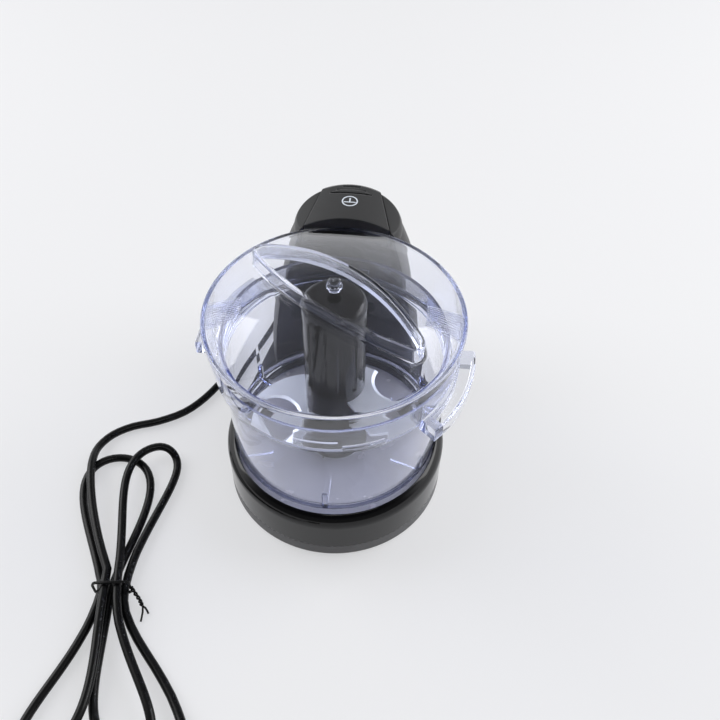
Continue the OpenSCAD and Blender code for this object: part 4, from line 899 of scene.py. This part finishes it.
def roundLine(name, places, radius, slotName):
    curve = bpy.data.curves.new(name, "CURVE")
    curve.dimensions = "3D"
    curve.bevel_depth = radius * mm
    curve.bevel_resolution = 5
    curve.use_fill_caps = True
    spline = curve.splines.new("POLY")
    spline.points.add(len(places) - 1)
    for point, place in zip(spline.points, places):
        point.co = (*place, 1)
    spline.use_smooth = True
    curve.materials.append(materials[slotName])
    line = bpy.data.objects.new(name, curve)
    scene.collection.objects.link(line)
    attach(line, "base")
    return line


def tieRoute(s):
    tail = smoothThrough([Vector(p) for p in tieTail], s["tailSteps"])
    way = tail[-1] - tail[0]
    flat = Vector((-way.y, way.x, 0)).normalized()
    strands = []
    for start, ends in zip((0, math.pi), tieEnds):
        line = []
        for i, p in enumerate(tail):
            turn = start + 2 * math.pi * s["twist"] * i / (len(tail) - 1)
            line.append(p + (flat * math.cos(turn) + Vector((0, 0, math.sin(turn)))) * s["strand"])
        strands.append(line + [Vector(p) for p in ends])
    loop = []
    for k in range(s["turns"]):
        for corner in range(4):
            side = s["half"] - s["corner"] if corner in (0, 3) else s["corner"] - s["half"]
            height = s["high"] - s["corner"] if corner < 2 else s["low"] + s["corner"]
            for i in range(s["cornerSteps"] + 1):
                turn = math.pi / 2 * (corner + i / s["cornerSteps"])
                loop.append((side + s["corner"] * math.cos(turn), height + s["corner"] * math.sin(turn)))
    width = s["pitch"] * (s["turns"] - 1)
    rings = [Vector((width * (0.5 - i / (len(loop) - 1)), *p)) for i, p in enumerate(loop)]
    return [hankPlace(*p) for p in smoothThrough(strands[0][::-1] + rings + strands[1], s["steps"])]


def makeTie(s):
    tie = roundLine("wireTie", [toFrame @ p for p in tieRoute(s)], s["wire"], "cord_black")
    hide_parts("cord_tie")
    print("tie done")
    return tie


def makeCord(s):
    exitPoint, route = cordRoute(s)
    places = [toFrame @ p for p in route]
    cord = roundLine("powerCord", places, s["radius"], "cord_black")
    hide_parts("power_cord", "cord_hank")


tie = makeTie(tieSizes)
makeCord(cordSizes)


# floor and light
floorLook = {
    "size": 6.0, "colour": (0.86, 0.86, 0.875), "shade": (0.84, 0.84, 0.86), "cloud": 300, "rough": 0.6,
    "specular": 0.2, "white": (0.90, 0.905, 0.92), "share": 0.55,
}


def makeFloor(look):
    bm = bmesh.new()
    bmesh.ops.create_grid(bm, x_segments=4, y_segments=4, size=look["size"] / 2)
    mesh = bpy.data.meshes.new("floor")
    bm.to_mesh(mesh)
    bm.free()
    floor = bpy.data.objects.new("floor", mesh)
    material, tree, shader, output = startMaterial("pale_floor")
    cloud = noiseOf(tree, objectPlace(tree), look["cloud"])
    tree.links.new(mixOf(tree, cloud, look["colour"], look["shade"]), shader.inputs["Base Color"])
    shader.inputs["Roughness"].default_value = look["rough"]
    shader.inputs["Specular IOR Level"].default_value = look["specular"]
    # seen directly, in metal or through glass, the floor is part backdrop; it keeps a soft shadow
    path = addNode(tree, "ShaderNodeLightPath")
    straight = mathOf(tree, "MAXIMUM", path.outputs["Is Camera Ray"], path.outputs["Is Glossy Ray"])
    seen = mathOf(tree, "MAXIMUM", straight, path.outputs["Is Transmission Ray"])
    glow = addNode(tree, "ShaderNodeEmission")
    glow.inputs["Color"].default_value = (*look["white"], 1)
    mix = addNode(tree, "ShaderNodeMixShader")
    tree.links.new(mathOf(tree, "MULTIPLY", seen, look["share"]), mix.inputs[0])
    tree.links.new(shader.outputs["BSDF"], mix.inputs[1])
    tree.links.new(glow.outputs[0], mix.inputs[2])
    tree.links.new(mix.outputs[0], output.inputs["Surface"])
    mesh.materials.append(material)
    scene.collection.objects.link(floor)


lampSet = {
    "rightBox": {"place": (1.1, 0.45, 0.85), "aim": (0, 0, 0.08), "size": (1.1, 1.0), "power": 12.0},
    "leftBox": {"place": (-1.1, 0.35, 0.8), "aim": (0, 0, 0.08), "size": (1.0, 0.9), "power": 9.0},
    "frontBox": {"place": (0.3, -0.8, 1.4), "aim": (0, 0, 0.05), "size": (1.0, 0.22), "power": 4.0},
}


def makeLamps(lamps):
    for name, lamp in lamps.items():
        data = bpy.data.lights.new(name, "AREA")
        data.shape = "RECTANGLE"
        data.size, data.size_y = lamp["size"]
        data.energy = lamp["power"]
        obj = bpy.data.objects.new(name, data)
        way = Vector(lamp["aim"]) - Vector(lamp["place"])
        obj.matrix_world = Matrix.Translation(lamp["place"]) @ way.to_track_quat("-Z", "Y").to_matrix().to_4x4()
        scene.collection.objects.link(obj)


worldLook = {
    "horizon": 1.3, "zenith": 0.3, "band": (0.34, 0.64), "front": 0.12, "frontSpan": (0.05, -0.45), "through": 0.92,
    "seen": 0.9, "tint": (0.97, 0.98, 1.0),
}


def makeWorld(look):
    world = bpy.data.worlds.new("studio")
    scene.world = world
    world.use_nodes = True
    tree = world.node_tree
    tree.nodes.clear()
    output = addNode(tree, "ShaderNodeOutputWorld")
    background = addNode(tree, "ShaderNodeBackground")
    coords = addNode(tree, "ShaderNodeTexCoord")
    apart = addNode(tree, "ShaderNodeSeparateXYZ")
    tree.links.new(coords.outputs["Generated"], apart.inputs[0])
    rise = rangeOf(tree, apart.outputs["Z"], *look["band"], look["horizon"], look["zenith"], True)
    front = rangeOf(tree, apart.outputs["Y"], *look["frontSpan"], 1.0, look["front"], True)
    background.inputs["Color"].default_value = (*look["tint"], 1)
    # through clear plastic the pale horizon shows all round, and straight on the backdrop is plain
    path = addNode(tree, "ShaderNodeLightPath")
    share = mathOf(tree, "MAXIMUM", front, path.outputs["Is Transmission Ray"])
    most = rangeOf(tree, path.outputs["Is Transmission Ray"], 0, 1, look["horizon"], look["through"])
    lit = mathOf(tree, "MULTIPLY", mathOf(tree, "MINIMUM", mathOf(tree, "MULTIPLY", rise, share), most),
        mathOf(tree, "SUBTRACT", 1, path.outputs["Is Camera Ray"]))
    plain = mathOf(tree, "MULTIPLY", path.outputs["Is Camera Ray"], look["seen"])
    tree.links.new(mathOf(tree, "ADD", lit, plain), background.inputs["Strength"])
    tree.links.new(background.outputs[0], output.inputs["Surface"])


makeFloor(floorLook)
makeLamps(lampSet)
makeWorld(worldLook)
scene.view_settings.view_transform = "Standard"
